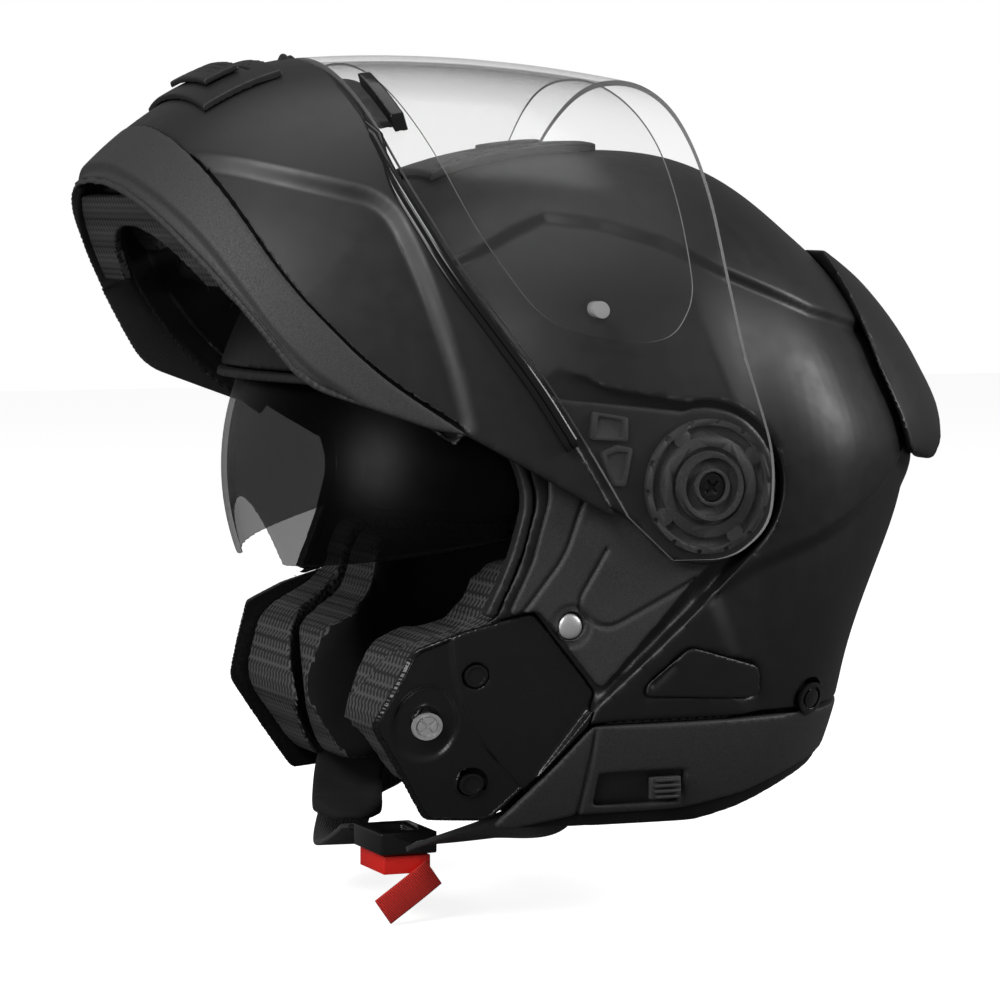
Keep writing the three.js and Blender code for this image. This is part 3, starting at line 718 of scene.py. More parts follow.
SMOKE = clear_sheet("smoked_polycarbonate", grey(0.42), 0.3, 0.007)


# ---------------------------------------------------------------- outer shell and what is fixed to it
RECESS_EDGE = [(104, 12), (78, -6), (50, -19), (22, -29), (-2, -40)]
BROW_CREASE = [
    (-100, 70), (-70, 84), (-57, 91), (-45, 96), (-26, 93.5),
    (-6, 87), (16, 76), (52, 62), (84, 55), (120, 50),
]
CAPS = {"upper": (-82, -66), "lower": (-80, -106)}


def along_line(points, line):
    """Signed distance of (y, z) points from an open line, positive to its left, and the share along it."""
    best = np.full(len(points), 1e9)
    signed = np.zeros(len(points))
    where = np.zeros(len(points))
    total = sum(np.hypot(*np.subtract(b, a)) for a, b in zip(line, line[1:]))
    done = 0.0
    for a, b in zip(line, line[1:]):
        a, b = np.array(a, float), np.array(b, float)
        step = b - a
        length = np.hypot(*step)
        t = np.clip((points - a) @ step / length**2, 0, 1)
        gap = points - (a + t[:, None] * step)
        distance = np.hypot(gap[:, 0], gap[:, 1])
        side = np.sign(step[0] * (points[:, 1] - a[1]) - step[1] * (points[:, 0] - a[0]))
        near = distance < best
        best[near] = distance[near]
        signed[near] = (distance * side)[near]
        where[near] = ((done + t * length) / total)[near]
        done += length
    return signed, where


def sculpt(obj, depth_at):
    """Pushes the vertices of a millimetre mesh in along their normals by depth_at(points, normals)."""
    mesh = obj.data
    points = vertex_array(mesh)
    normals = vertex_array(mesh, "normal")
    moved = points - normals * depth_at(points, normals)[:, None]
    mesh.vertices.foreach_set("co", moved.ravel())
    mesh.update()
    return obj


def step_below(points, line, depth, fade, width=2.0):
    """A ledge under a line: full depth just below it, fading further down and towards its ends."""
    signed, where = along_line(points[:, 1:], line)
    below = smoothstep(-signed, -width / 2, width / 2)
    ends = smoothstep(where, 0, 0.08) * smoothstep(1 - where, 0, 0.08)
    return depth * below * np.exp(-np.maximum(-signed, 0) / fade) * ends


def groove(points, line, depth, width, closed=False):
    """A narrow channel along a line."""
    line = line + line[:1] if closed else line
    signed, _ = along_line(points[:, 1:], line)
    return depth * np.exp(-((signed / width) ** 2))


def facing_out(points, normals):
    """One where a vertex looks away from the head, nought on inner faces."""
    away = points / np.linalg.norm(points, axis=1)[:, None]
    return smoothstep(np.einsum("ij,ij->i", away, normals), 0.1, 0.5)


def outer_shell():
    whole = meet(layer(hull, 0, WALL), side_prism(rounded(SHELL_EDGE, 3)))
    covers = minus(side_prism(rounded(grown(COMM_COVER, 0.7), 3)), hull(1.8))
    whole = minus(whole, covers, side_prism(grown(PLATE_ZONE, 0.3)))
    whole = minus(whole, rod_x(PLUG_R + 0.4, centre=PLUG))
    whole = minus(whole, rod_x(RIVET_R + 0.4, centre=STRAP_RIVET))
    soften(whole, SHELL_VOXEL, 3)

    def depth(points, normals):
        steps = step_below(points, BROW_CREASE, 2.6, 60, 3.2)
        steps += step_below(points, list(reversed(RECESS_EDGE)), 2.6, 50, 6.0)
        on_side = smoothstep(np.abs(points[:, 0]), 20, 45)
        return steps * on_side * facing_out(points, normals)

    return sculpt(whole, depth)


def grown(points, distance):
    """A closed outline pushed out from its middle."""
    points = np.array(points, float)
    away = points - points.mean(axis=0)
    return [tuple(p) for p in points + away / np.linalg.norm(away, axis=1)[:, None] * distance]


def one_side(obj, outline, side, inner=20):
    return meet(obj, side_prism(outline, *span(side, inner, REACH)))


def side_rod(side, radius, centre, inner=40, sides=48):
    return rod_x(radius, *span(side, inner, REACH), centre=centre, sides=sides)


SUN_SECTOR = [(-28, -14), (-60, -24), (-REACH, -60), (-REACH, 200), (60, 200), (-8, 40), (-22, 8)]
LINER_OUTLINE = [
    (-REACH, 47), (-112, 42), (-74, 32), (-58, 14), (-53, -4), (-58, -20), (20, -26), (40, -92),
    (REACH, -80), (REACH, 200), (-REACH, 200),
]
CROWN_OUTLINE = [(-84, 40), (-40, 12), (30, 0), (44, -40), (REACH, -50), (REACH, 200), (-84, 200)]
CHEEK = [(-62, -24), (-72, -48), (-98, -60), (-108, -85), (-88, -115), (18, -112), (16, -30)]
STRAP_SLOT = [(-70.4, -140), (-70.4, -40), (-34, -40), (-34, -140)]
RIM_SPACE = [(-75, -120), (-43, -99.5), (90, -91.5), (120, -92), (120, -130), (-75, -130)]


def sun_body(grow):
    return swept_body(
        SUN["half_width"] + grow, SUN["radius"] + grow, SUN["power"], centre=(SUN_PIVOT.y, SUN_PIVOT.z)
    )


def sun_space():
    return minus(side_prism(SUN_SECTOR), sun_body(-1.2 - SUN["wall"]))


def rim_space():
    return minus(side_prism(RIM_SPACE), head_form(SHELL, 13.6))


def eps_liner():
    foam = meet(minus(hull(WALL + 0.5), head_form(HEAD)), side_prism(rounded(LINER_OUTLINE, 6)))
    return soften(minus(foam, sun_space(), rim_space()), 2.0, 3)


def crown_liner():
    pad = minus(head_form(HEAD, 0.5), head_form(HEAD, PAD))
    return soften(meet(pad, side_prism(rounded(CROWN_OUTLINE, 8))), 1.8, 6)


def cheek_foam(side):
    foam = one_side(minus(hull(WALL + 0.5), head_form(HEAD, -14)), rounded(CHEEK, 8), side)
    strap_space = minus(side_prism(STRAP_SLOT), hull(WALL + 4.2))
    return soften(minus(foam, strap_space, sun_space(), rim_space()), 1.4, 4)


def cheek_pad(side):
    """Stuffed pad: velvet against the cheek, knit round its edge."""
    pad = minus(head_form(HEAD, -13.5), head_form(HEAD, 14))
    pad = one_side(pad, rounded(grown(CHEEK, -0.5), 12), side)
    pad = soften(minus(pad, sun_space(), rim_space()), 1.5, 10)
    pad = cushion(pad, "cheek_pad_" + side_name(side))
    return two_part(pad, PILE, lambda polygon: polygon.normal.x * side < -0.45)


def band(line, near, far):
    """A strip beside an open line, between two distances to its left."""
    return shifted(line, near) + list(reversed(shifted(line, far)))


def shifted(points, distance):
    result = []
    for i, (y, z) in enumerate(points):
        y0, z0 = points[max(i - 1, 0)]
        y1, z1 = points[min(i + 1, len(points) - 1)]
        length = math.hypot(y1 - y0, z1 - z0)
        result.append((y - (z1 - z0) / length * distance, z + (y1 - y0) / length * distance))
    return result


def eye_port_seal():
    line = smooth_path(EYE_PORT[:-1], 12)
    return soften(meet(layer(hull, -0.6, WALL + 1.4), side_prism(band(line, -0.4, -4))), 0.9, 4)


SIDE_PANEL = [
    (-58, 14), (-30, 20), (-16, 20), (20, 8), (20, -14), (-6, -38), (-37, -72), (-61, -43), (-72, -44.5),
    (-63.5, -26), (-57.5, -4),
]
PANEL_SPLIT = [(-44, -2), (-52, -24), (-72, -50)]
PANEL_INSET = [(-36, -22), (-48, -42), (-36, -51), (-2, -34)]


def side_panel(side):
    skin = meet(recess_body(-2.8), head_form(SHELL, 0.6))
    skin = minus(skin, recess_body(-0.3))
    panel = one_side(skin, rounded(SIDE_PANEL, 3), side, 60)
    panel = minus(panel, rod_x(RIVET_R + 0.4, centre=STRAP_RIVET), rod_x(9.4))
    soften(panel, 0.7, 3)

    def depth(points, normals):
        cuts = groove(points, smooth_path(PANEL_SPLIT, 6), 1.5, 0.8)
        cuts += groove(points, smooth_path(PANEL_INSET, 6), 1.5, 0.8)
        around = np.hypot(points[:, 1] - STRAP_RIVET[0], points[:, 2] - STRAP_RIVET[1])
        cuts += 0.8 * smoothstep(8.5 - around, 0, 1.4)
        return cuts * facing_out(points, normals)

    return sculpt(panel, depth)


PLATE_STEP = [(-92, -48), (-89, -70), (-80, -89), (-67, -103), (-52, -118)]


def lock_plate(side):
    """Stamped plate: flat at the rear, a step down at the front and a dished pocket round the pin."""
    plate = meet(layer(hull, 0, WALL - 0.2), side_prism(rounded(SHELL_EDGE, 3)))
    plate = one_side(plate, rounded(PLATE_ZONE, 2), side, 40)
    plate = minus(plate, rod_x(3.4, centre=LATCH_PIN))
    for at in CAPS.values():
        plate = minus(plate, minus(rod_x(4.5, centre=at), hull(2.2)))
    soften(plate, 0.6, 14)
    step = smooth_path(PLATE_STEP, 12)

    def depth(points, normals):
        signed, _ = along_line(points[:, 1:], step)
        cuts = 1.8 * smoothstep(-signed, -1.2, 1.2)
        pin = np.hypot(points[:, 1] - LATCH_PIN[0], (points[:, 2] - LATCH_PIN[1]) * 0.8)
        cuts += 1.3 * smoothstep(12 - pin, 0, 2.4)
        return cuts * facing_out(points, normals)

    return sculpt(plate, depth)


def hull_disc(side, radius, outer, inner, centre):
    return meet(layer(hull, outer, inner), side_rod(side, radius, centre))


def latch_pin(side):
    """Turned pin: a flanged head with a ring and a cross cut in its face."""
    stem = hull_disc(side, 3, -1.6, WALL - 0.3, LATCH_PIN)
    head = hull_disc(side, 5, -1.6, -0.4, LATCH_PIN)
    pin = plus(stem, head)
    ring = minus(side_rod(side, 3.9, LATCH_PIN), side_rod(side, 3.2, LATCH_PIN, 30), hull(-0.9))
    pin = minus(pin, ring)
    for turn in (45, 135):
        cross = block((400, 0.7, 8), (side * 250, *LATCH_PIN), math.radians(turn))
        pin = minus(pin, minus(cross, hull(-1.0)))
    return bevelled(pin, 0.2)


def lock_plate_cap(side, centre):
    cap = hull_disc(side, 4, -0.4, 1.9, centre)
    ring = minus(side_rod(side, 3.1, centre), hull(0.1))
    return bevelled(minus(cap, ring), 0.25)


def domed_disc(side, radius, centre, height, thick, sides=64, rings=12):
    """A button along X: a flat back and a domed face."""
    stack = [(radius * 0.98, 0.0), (radius, 0.3)]
    for t in np.linspace(0, math.pi / 2, rings)[:-1]:
        stack.append((radius * math.cos(t), thick + height * math.sin(t)))
    rings = [ring_across_x(centre[0] + side * x, r, centre[1:], sides) for r, x in stack]
    verts, faces = capped_grid(rings)
    if side < 0:
        faces = [tuple(reversed(f)) for f in faces]
    return new_object("button", verts, faces)


def measured(node):
    """A CAD node's low and high corners, size and centre, in millimetres about the pivot."""
    low, high = ((corner - PIVOT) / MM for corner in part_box(node))
    return low, high, high - low, (low + high) / 2


def strap_rivet(side):
    low, high, size, middle = measured("strap_rivet_" + side_name(side))
    inner = low.x if side > 0 else high.x
    dome = 1.6
    return crisp(domed_disc(side, RIVET_R, (inner, middle.y, middle.z), dome, size.x - dome))


def comm_cover(side):
    cover = one_side(layer(hull, -0.6, 1.3), rounded(COMM_COVER, 3), side, 60)
    soften(cover, 0.6, 3)
    slot = [(-18, -70.5), (-12, -64.5)]

    def depth(points, normals):
        return groove(points, slot, 1.2, 1.7) * facing_out(points, normals)

    return sculpt(cover, depth)


def rim_plug(side):
    plug = hull_disc(side, PLUG_R, -0.5, 1.8, PLUG)
    ring = minus(side_rod(side, 4.4, PLUG), side_rod(side, 3.4, PLUG, 30), hull(0.3))
    return bevelled(minus(plug, ring), 0.3)


# ---------------------------------------------------------------- lower rim, straps and buckle
TRACK = [(-34, -115.6), (-34, -103.4), (-1, -103.4), (-1, -115.6)]
JAW_TRIM = [
    (-70, -122.6), (-39.6, -85.3), (90, -84.8), (112, -83), (104, -94), (84, -98), (50, -106), (26, -114),
    (0, -118.5), (-40, -119), (-64, REST_Z),
]
RIM_SEAM = [(-38, -84), (-40, -124)]
NECK_EDGE = [
    (-62, -121), (-40, -116), (0, -115.5), (26, -111), (50, -103), (84, -95), (112, -90), (118, -88),
    (112, -96), (84, -102), (50, -111), (26, -120), (8, REST_Z), (-62, REST_Z),
]


def lower_rim():
    """Textured band under the shell, from the jaw to the nape."""
    ring = minus(hull(0.3), hull(9))
    track = minus(side_prism(grown(TRACK, 0.6), 40, REACH), head_form(SHELL, 4.6))
    strap_space = meet(side_prism(STRAP_SLOT), head_form(SHELL, 3.4))
    rim = minus(meet(ring, side_prism(rounded(JAW_TRIM, 3))), track, strap_space)
    soften(rim, 1.0, 3)

    def depth(points, normals):
        return groove(points, RIM_SEAM, 1.5, 0.8) * facing_out(points, normals)

    return sculpt(rim, depth)


def neck_edge():
    """Padded cloth edge that rolls out under the rim."""
    ring = minus(head_form(SHELL, 1.6), head_form(SHELL, 16))
    strap_space = meet(side_prism(STRAP_SLOT), head_form(SHELL, 3.4))
    roll = minus(meet(ring, side_prism(rounded(NECK_EDGE, 5))), strap_space)
    return soften(roll, 1.3, 10)


def sun_lever_track():
    skin = minus(head_form(SHELL, 2.6), head_form(SHELL, 4.2))
    track = one_side(skin, rounded(TRACK, 1.2), 1, 40)
    return bevelled(track, 0.2)


def sun_visor_lever():
    low, _, size, centre = measured("sun_visor_lever")
    base = block((size.x * 0.55, size.y, size.z), (centre.x - size.x * 0.22, centre.y, centre.z))
    base = bevelled(base, 0.5)
    ridge_count = 4
    pitch = size.z / ridge_count
    for i in range(ridge_count):
        z = low.z + pitch * (i + 0.5)
        length = size.y * (0.92 - 0.12 * abs(i - 1.5))
        ridge = block((size.x * 0.5, length, pitch * 0.55), (centre.x + size.x * 0.24, centre.y, z))
        plus(base, bevelled(ridge, 0.35))
    return crisp(base)


def neck_roll():
    roll = minus(head_form(SHELL, 15), head_form(SHELL, 30))
    outline = [(24, -98), (60, -94), (REACH, -90), (REACH, -120), (70, -108), (24, -118)]
    return soften(meet(roll, side_prism(rounded(outline, 6))), 1.6, 12)


def carried(path, ups, profile, shares):
    """A closed band: a profile of (across, up) points carried along a path and scaled at each point."""
    rings = []
    for i, (point, up, share) in enumerate(zip(path, ups, shares)):
        ahead = (path[min(i + 1, len(path) - 1)] - path[max(i - 1, 0)]).normalized()
        across = ahead.cross(up).normalized()
        normal = across.cross(ahead).normalized()
        rings.append(np.array([tuple(point + (across * u + normal * v) * share) for u, v in profile]))
    return outward(new_object("band", *capped_grid(rings)))


def ribbon(path, width, thick, up, steps=16, rounded_ends=0):
    """A flat band along a smooth path of points. up is the direction its flat face looks at each point."""
    points = [Vector(p) for p in path]
    ups = [Vector(u).normalized() for u in up]
    fine, fine_up = [], []
    for i in range(len(points) - 1):
        p0, p1 = points[max(i - 1, 0)], points[i]
        p2, p3 = points[i + 1], points[min(i + 2, len(points) - 1)]
        for k in range(steps):
            t = k / steps
            a = (p1 * 2) + (p2 - p0) * t + (p0 * 2 - p1 * 5 + p2 * 4 - p3) * t * t
            fine.append((a + (p1 * 3 - p0 - p2 * 3 + p3) * t**3) * 0.5)
            fine_up.append(ups[i].lerp(ups[i + 1], t).normalized())
    fine.append(points[-1])
    fine_up.append(ups[-1])
    profile = []
    bead = min(thick * 0.5, 0.7)
    for x, z in [(-1, -1), (1, -1), (1, 1), (-1, 1)]:
        for turn in np.radians([0, 45, 90]):
            start = math.atan2(z, x) - math.pi / 4
            profile.append((x * (width / 2 - bead) + bead * math.cos(start + turn),
                            z * (thick / 2 - bead) + bead * math.sin(start + turn)))
    shares = [1.0] * len(fine)
    if rounded_ends:
        from_end = [min(i, len(fine) - 1 - i) for i in range(len(fine))]
        shares = [math.sqrt(min(1.0, (steps_in + 0.6) / rounded_ends)) for steps_in in from_end]
    return carried(fine, fine_up, profile, shares)


def strap(side):
    centre = measured("buckle_body")[3]
    outline = [(-59, -110), (-59, -54), (-39, -54), (-39, -110)]
    upper = one_side(layer(hull, WALL + 1, WALL + 3), outline, side, 40)
    start = [(side * 89, -48, -106), (side * 81.5, -47, -119)]
    if side > 0:
        run = [(70, -66, -126), (centre.x + 20, centre.y, centre.z)]
        faces = [(1, 0.1, 0), (0.9, -0.2, -0.4), (0.3, -0.2, -0.9), (0, 0, -1)]
    else:
        run = [(-66, -68, -128), (-28, -88, -143), (centre.x - 33, centre.y, centre.z)]
        faces = [(-1, 0.1, 0), (-0.9, -0.2, -0.4), (-0.4, -0.2, -0.9), (0, 0, -1), (0, 0, -1)]
    return plus(bevelled(upper, 0.3), ribbon(start + run, 20, 2, faces))


def strap_pad(side):
    """Quilted comfort pad that lies on the throat side of the strap."""
    lift = 6.5
    if side > 0:
        path = [(80, -47, -112), (68, -66, -120 + lift), (50, -80, -127 + lift)]
        faces = [(-0.9, 0.1, 0.4), (-0.4, 0, 0.9), (-0.2, 0, 1)]
    else:
        path = [(-84, -44, -100), (-78, -54, -112), (-62, -70, -122 + lift)]
        path += [(-36, -82, -134 + lift), (-14, -88, -132)]
        faces = [(0.9, 0.1, 0), (0.9, 0.1, 0.3), (0.5, 0, 0.9), (0.2, 0, 1), (0, 0, 1)]
    return soften(ribbon(path, 27, 7, faces, rounded_ends=12), 1.4, 6)


def buckle_body():
    _, high, size, centre = measured("buckle_body")
    body = block(size, centre)
    slot = block((size.x + 10, 15, 2.6), centre - Vector((6, 0, 0)))
    window = block((size.x * 0.5, size.y * 0.5, 4), (centre.x, centre.y, high.z))
    return bevelled(minus(body, slot, window), 0.8, 3)


def ratchet_tongue():
    low, high, size, centre = measured("ratchet_tongue")
    tongue = block(size, centre)
    teeth = 9
    pitch = size.x * 0.5 / teeth
    for i in range(teeth):
        x = low.x + 4 + pitch * i
        minus(tongue, block((pitch * 0.5, size.y * 0.7, 0.9), (x, centre.y, high.z)))
    return bevelled(tongue, 0.25)


LEVER_DROP = 4.0


def buckle_lever():
    low, _, size, centre = measured("buckle_lever")
    lever = block(size + Vector((0, 0, LEVER_DROP)), centre - Vector((0, 0, LEVER_DROP / 2)))
    grips = 5
    for i in range(grips):
        x = centre.x - size.x * 0.3 + size.x * 0.15 * i
        minus(lever, block((1.4, size.y * 0.7, 1.0), (x, centre.y, low.z - LEVER_DROP)))
    return bevelled(lever, 1.2, 4)


TAB_TILT = math.radians(35)


def pull_tab():
    """Doubled webbing that hangs from the lever, its flat side to the wearer's left."""
    _, _, size, middle = measured("pull_tab")
    along = Vector((0, math.cos(TAB_TILT), math.sin(TAB_TILT)))
    width = (size.y * math.sin(TAB_TILT) - size.z * math.cos(TAB_TILT)) / (
        math.sin(TAB_TILT) ** 2 - math.cos(TAB_TILT) ** 2)
    length = (size.y - width * math.sin(TAB_TILT)) / math.cos(TAB_TILT)
    path = [middle + along * (length / 2 * t) for t in (1, 0.35, -0.35, -1)]
    sway = [0, 0.25, 0.1, -0.2]
    path = [p + Vector((x, 0, 0)) for p, x in zip(path, sway)]
    return ribbon(path, width, 1.4, [(1, 0, 0)] * 4)


# ---------------------------------------------------------------- spoiler and top vent
VENT = {"half_width": 24, "front": -70, "rear": -4}


def rear_spoiler():
    raised = plus(head_form({**SHELL, "rear": 140, "nape": 112, "side": 108}), head_form(SHELL, -2.0))
    wedge = minus(raised, head_form(SHELL, -0.4))
    outline = [(79, 83.5), (111, 63), (131, 40), (128, 30), (121, 10), (112, 4), (96, 8), (84, 40)]
    return soften(meet(wedge, side_prism(rounded(outline, 3))), 0.9, 8)


def top_vent():
    raised = minus(head_form(SHELL, -3.4), head_form(SHELL, -0.4))
    length = VENT["rear"] - VENT["front"]
    middle = (VENT["rear"] + VENT["front"]) / 2
    vent = meet(raised, block((2 * VENT["half_width"], length, 120), (0, middle, 90)))
    slot = minus(block((21, 27, 60), (0, -34, 140)), head_form(SHELL, -1.6))
    vent = minus(vent, slot)
    for i in range(4):
        for side in (-1, 1):
            line = block((5.5, 9, 60), (side * 17.5, VENT["front"] + 9 + 14 * i, 140))
            vent = minus(vent, minus(line, head_form(SHELL, -1.4)))
    return soften(vent, 0.6, 3)


def top_vent_slider():
    raised = minus(head_form(SHELL, -4.6), head_form(SHELL, -2))
    slider = meet(raised, block((20, 18, 120), (0, -30.2, 90)))
    for i in range(3):
        rib = minus(block((16, 1.6, 60), (0, -35 + 4.8 * i, 140)), head_form(SHELL, -3.8))
        slider = minus(slider, rib)
    return soften(slider, 0.4, 2)


# ---------------------------------------------------------------- sun visor, lowered
SUN_OUTLINE = [
    (-31, -8), (-38, -9), (-60, -17), (-90, -24), (-138, -34), (-REACH, -60), (-REACH, 160), (-104, 53),
    (-74, 34), (-54, 14), (-31, 9),
]


def rod_y(radius, y0, y1, z, sides=72):
    turn = np.linspace(0, 2 * math.pi, sides, endpoint=False)
    x = radius * np.cos(turn)
    height = z + radius * np.sin(turn)
    rings = [np.stack([x, np.full(sides, y), height], -1) for y in (y1, y0)]
    return new_object("rod", *capped_grid(rings))


def sun_visor():
    lens = minus(sun_body(0), sun_body(-SUN["wall"]))
    lens = meet(lens, side_prism(rounded(SUN_OUTLINE, 8)))
    return soften(minus(lens, rod_y(26, -REACH, -60, -34)), 0.8, 4)


# ---------------------------------------------------------------- chin bar, drawn closed
HOOK = (-111, -101)
CHIN_CREST = [(-166, -142), (-157, -120), (-147, -104), (-130, -76), (-109, -75), (-73, -76), (-38, -79)]
TRIM_RIDGE = [
    (-REACH, -160), (-166, -150), (-141, -141), (-120, -136), (-99, -131), (-82, -124), (-62, -108),
]


def swept_cavity():
    return swept_body(ARM_IN, SWEEP_R)


def chin_arm(side):
    flat = minus(swept_body(ARM_OUT, SWEEP_R + 3.6), swept_cavity())
    outline = [(-19, -53)]
    for angle in np.radians(np.linspace(-80, 180, 60)):
        outline.append((ARM_R * math.cos(angle), ARM_R * math.sin(angle)))
    outline += [(-46, -42), (-56, -58)]
    return minus(one_side(flat, outline, side, 60), side_rod(side, 9.6, (0, 0), 0))


def chin_bar_shell():
    outline = smooth_path(GASKET_LINE, 12) + smooth_path(TRIM_SEAM, 16) + [(-21, -57)]
    skin = meet(chin_layer(0, WALL), side_prism(outline))
    skin = minus(skin, swept_cavity())
    skin = plus(skin, chin_arm(1), chin_arm(-1))
    for side in SIDES.values():
        skin = plus(skin, rod_x(2.3, *span(side, 81, 90), centre=HOOK))
    seam = smooth_path(TRIM_SEAM, 16)
    lip = meet(chin_layer(WALL - 0.3, WALL + 1.4), side_prism(band(seam, -5, 5)))
    skin = plus(skin, minus(lip, swept_cavity()))
    soften(skin, 0.95, 3)
    crest = smooth_path(CHIN_CREST, 14)

    def depth(points, normals):
        return step_below(points, crest, 3.0, 60, 7.0) * facing_out(points, normals)

    return sculpt(skin, depth)


TRIM_FLANGE = [(-156, -150), (-112, -141), (-112, -130), (-156, -140)]


def chin_trim():
    seam = smooth_path([(y, z + 0.4) for y, z in TRIM_SEAM], 16)
    lower = smooth_path([TRIM_SEAM[-1], (-50, -90), (-78, -128), (-158, -153), (-REACH, -185)], 10)
    skin = meet(chin_layer(-0.3, WALL), side_prism(seam + lower[1:]))
    flange = meet(chin_layer(WALL - 0.3, WALL + 1.5), side_prism(TRIM_FLANGE), side_prism(seam + lower[1:]))
    soften(minus(plus(skin, flange), swept_cavity()), 0.66, 18)
    ridge = smooth_path(TRIM_RIDGE, 14)

    def depth(points, normals):
        return step_below(points, ridge, 2.8, 40, 3.4) * facing_out(points, normals)

    return sculpt(skin, depth)


def chin_foam():
    fill = minus(stacked_form(CHIN_FORM, -140, -72, WALL + 1.6), swept_body(ARM_IN + 1, SWEEP_R + 1))
    outline = [(-120, -76), (-REACH, -76), (-REACH, -138), (-150, -132), (-120, -118)]
    return soften(meet(fill, side_prism(rounded(outline, 6))), 1.2, 8)


ARM_PADS = [
    [(-39, -34), (-33, -22), (-25, -24.5), (-30, -38)],
    [(-24.5, -35.5), (-25, -29), (-22, -23.5), (-10, -30), (-11.5, -34.5)],
]


def arm_cover(side):
    """Raised pads of the hinge mechanism's cover, on the arm beside the visor."""
    cover = None
    for outline in ARM_PADS:
        pad = side_prism(rounded(outline, 1.0, 3), *span(side, ARM_OUT - 1, ARM_OUT + 1.6))
        cut = side_prism(rounded(grown(outline, -2.2), 1.0, 3), *span(side, ARM_OUT + 0.7, ARM_OUT + 3))
        pad = minus(pad, cut)
        cover = plus(cover, pad) if cover else pad
    return bevelled(cover, 0.3)


def release_button():
    low, high = node_box_closed("release_button")
    button = block(high - low, (low + high) / 2)
    return bevelled(button, 0.9, 3)


def node_box_closed(node):
    """The box of a chin-bar node turned back down to closed, in millimetres about the pivot."""
    turn = np.array(Matrix.Rotation(OPEN_ANGLE, 3, "X"))
    points = (vertex_array(frame["nodes"][node].data) - np.array(PIVOT)) / MM @ turn.T
    return Vector(points.min(0)), Vector(points.max(0))


def chin_curtain():
    fill = minus(stacked_form(CHIN_FORM, -160, -90, WALL + 1.6), stacked_form(CHIN_FORM, -161, -89, 28))
    outline = [(-152, -147.5), (-116, -137), (-116, -133.5), (-152, -144)]
    return soften(meet(fill, side_prism(outline)), 0.8, 2)


def front_block(width, z0, z1, y0=-REACH, y1=-120):
    return block((width, y1 - y0, z1 - z0), (0, (y0 + y1) / 2, (z0 + z1) / 2))


def breath_guard():
    sheet = minus(stacked_form(CHIN_FORM, -76, -48, 9), stacked_form(CHIN_FORM, -80, -40, 11))
    return soften(meet(sheet, front_block(112, -75.4, -50)), 0.6, 3)


def latch_hook(side):
    skin = minus(swept_body(FLOOR + 2.2, SWEEP_R - 1.4), swept_body(FLOOR + 0.8, SWEEP_R - 2.8))
    neck = side_prism([(-106, -89), (-114, -99), (-107, -104), (-99, -94)])
    claw = plus(rod_x(10.5, centre=LATCH_PIN), rod_x(6, centre=HOOK), neck)
    jaws = side_prism([(-102.7, -88), (-93.3, -80), (-83, -92.2), (-92.4, -100.2)])
    claw = minus(claw, rod_x(6.2, centre=LATCH_PIN), jaws, rod_x(2.8, centre=HOOK))
    ahead = [(-REACH, 0), (0, 0), (0, -REACH), (-REACH, -REACH)]
    return bevelled(one_side(meet(claw, skin), ahead, side), 0.2)


def mouth_vent(outer, inner, width, z0, z1):
    cover = minus(stacked_form(CHIN_FORM, -165, 0, outer), stacked_form(CHIN_FORM, -170, 5, inner))
    return meet(cover, front_block(width, z0, z1))


def mouth_vent_base():
    """Low cover with three slits under the slider."""
    vent = mouth_vent(-2.6, -0.4, 68, -114, -82)
    for i in range(3):
        slit = front_block(46 - 8 * i, -90.5 + 2.6 * i, -89.3 + 2.6 * i)
        vent = minus(vent, minus(slit, stacked_form(CHIN_FORM, -165, 0, -1.2)))
    return soften(vent, 0.5, 3)


def mouth_vent_slider():
    vent = mouth_vent(-5.4, -3.2, 42, -107, -93)
    for i in range(3):
        rib = minus(front_block(34, -102.5 + 3 * i, -101.4 + 3 * i), stacked_form(CHIN_FORM, -165, 0, -4.6))
        vent = minus(vent, rib)
    return soften(vent, 0.45, 2)


# ---------------------------------------------------------------- clear visor, drawn closed
INSERT_OUTLINE = [
    (-REACH, 42), (-124, 37), (-64, 17), (-54, 4), (-56, -10), (-72, -40), (-110, -50), (-REACH, -50),
]
INSERT_PIN = (-72, -20)
HUB_FOOT = 121.8
HUB_TOP = 124.2
GASKET_GAP = 3.4
GASKET_START = [(-30, -44.5)]
GASKET_FRONT_Z = -69.2
GASKET_BEADS = {"upper": (2.9, 0.2, 1.4), "lower": (0.4, -0.3, 1.7)}


def visor_outline():
    lower = smooth_path([(y, z + GASKET_GAP) for y, z in GASKET_LINE], 12)
    upper = smooth_path(VISOR_TOP, 12)
    return lower + upper


def edged(obj, outline, material):
    """Gives the cut edge of a sheet its own material: the faces that lie on the side-view outline."""
    centres = np.array([polygon.center[1:3] for polygon in obj.data.polygons])
    signed, _ = along_line(centres, outline + outline[:1])
    near = np.abs(signed) < 0.06
    return two_part(obj, material, lambda polygon: near[polygon.index])


def visor_shield():
    sheet = meet(visor_layer(0, VISOR_WALL), side_prism(visor_outline()))
    sheet = minus(sheet, rod_x(12.4), rod_x(3.3, centre=INSERT_PIN))
    for side in SIDES.values():
        sheet = plus(sheet, visor_hub(side))
    return edged(crisp(sheet, 25), visor_outline(), CLEAR_EDGE)


def visor_hub(side):
    """Broken ring of snap hooks that stands on the sheet round the pivot."""
    ring = rod_x(18.8, *span(side, HUB_FOOT, HUB_TOP), sides=96)
    ring = minus(ring, side_rod(side, 17.2, (0, 0), 0, sides=96))
    for angle in np.radians([20, 95, 160, 250, 310]):
        ring = minus(ring, side_rod(side, 5.5, (18 * math.cos(angle), 18 * math.sin(angle)), 0, sides=24))
    return ring


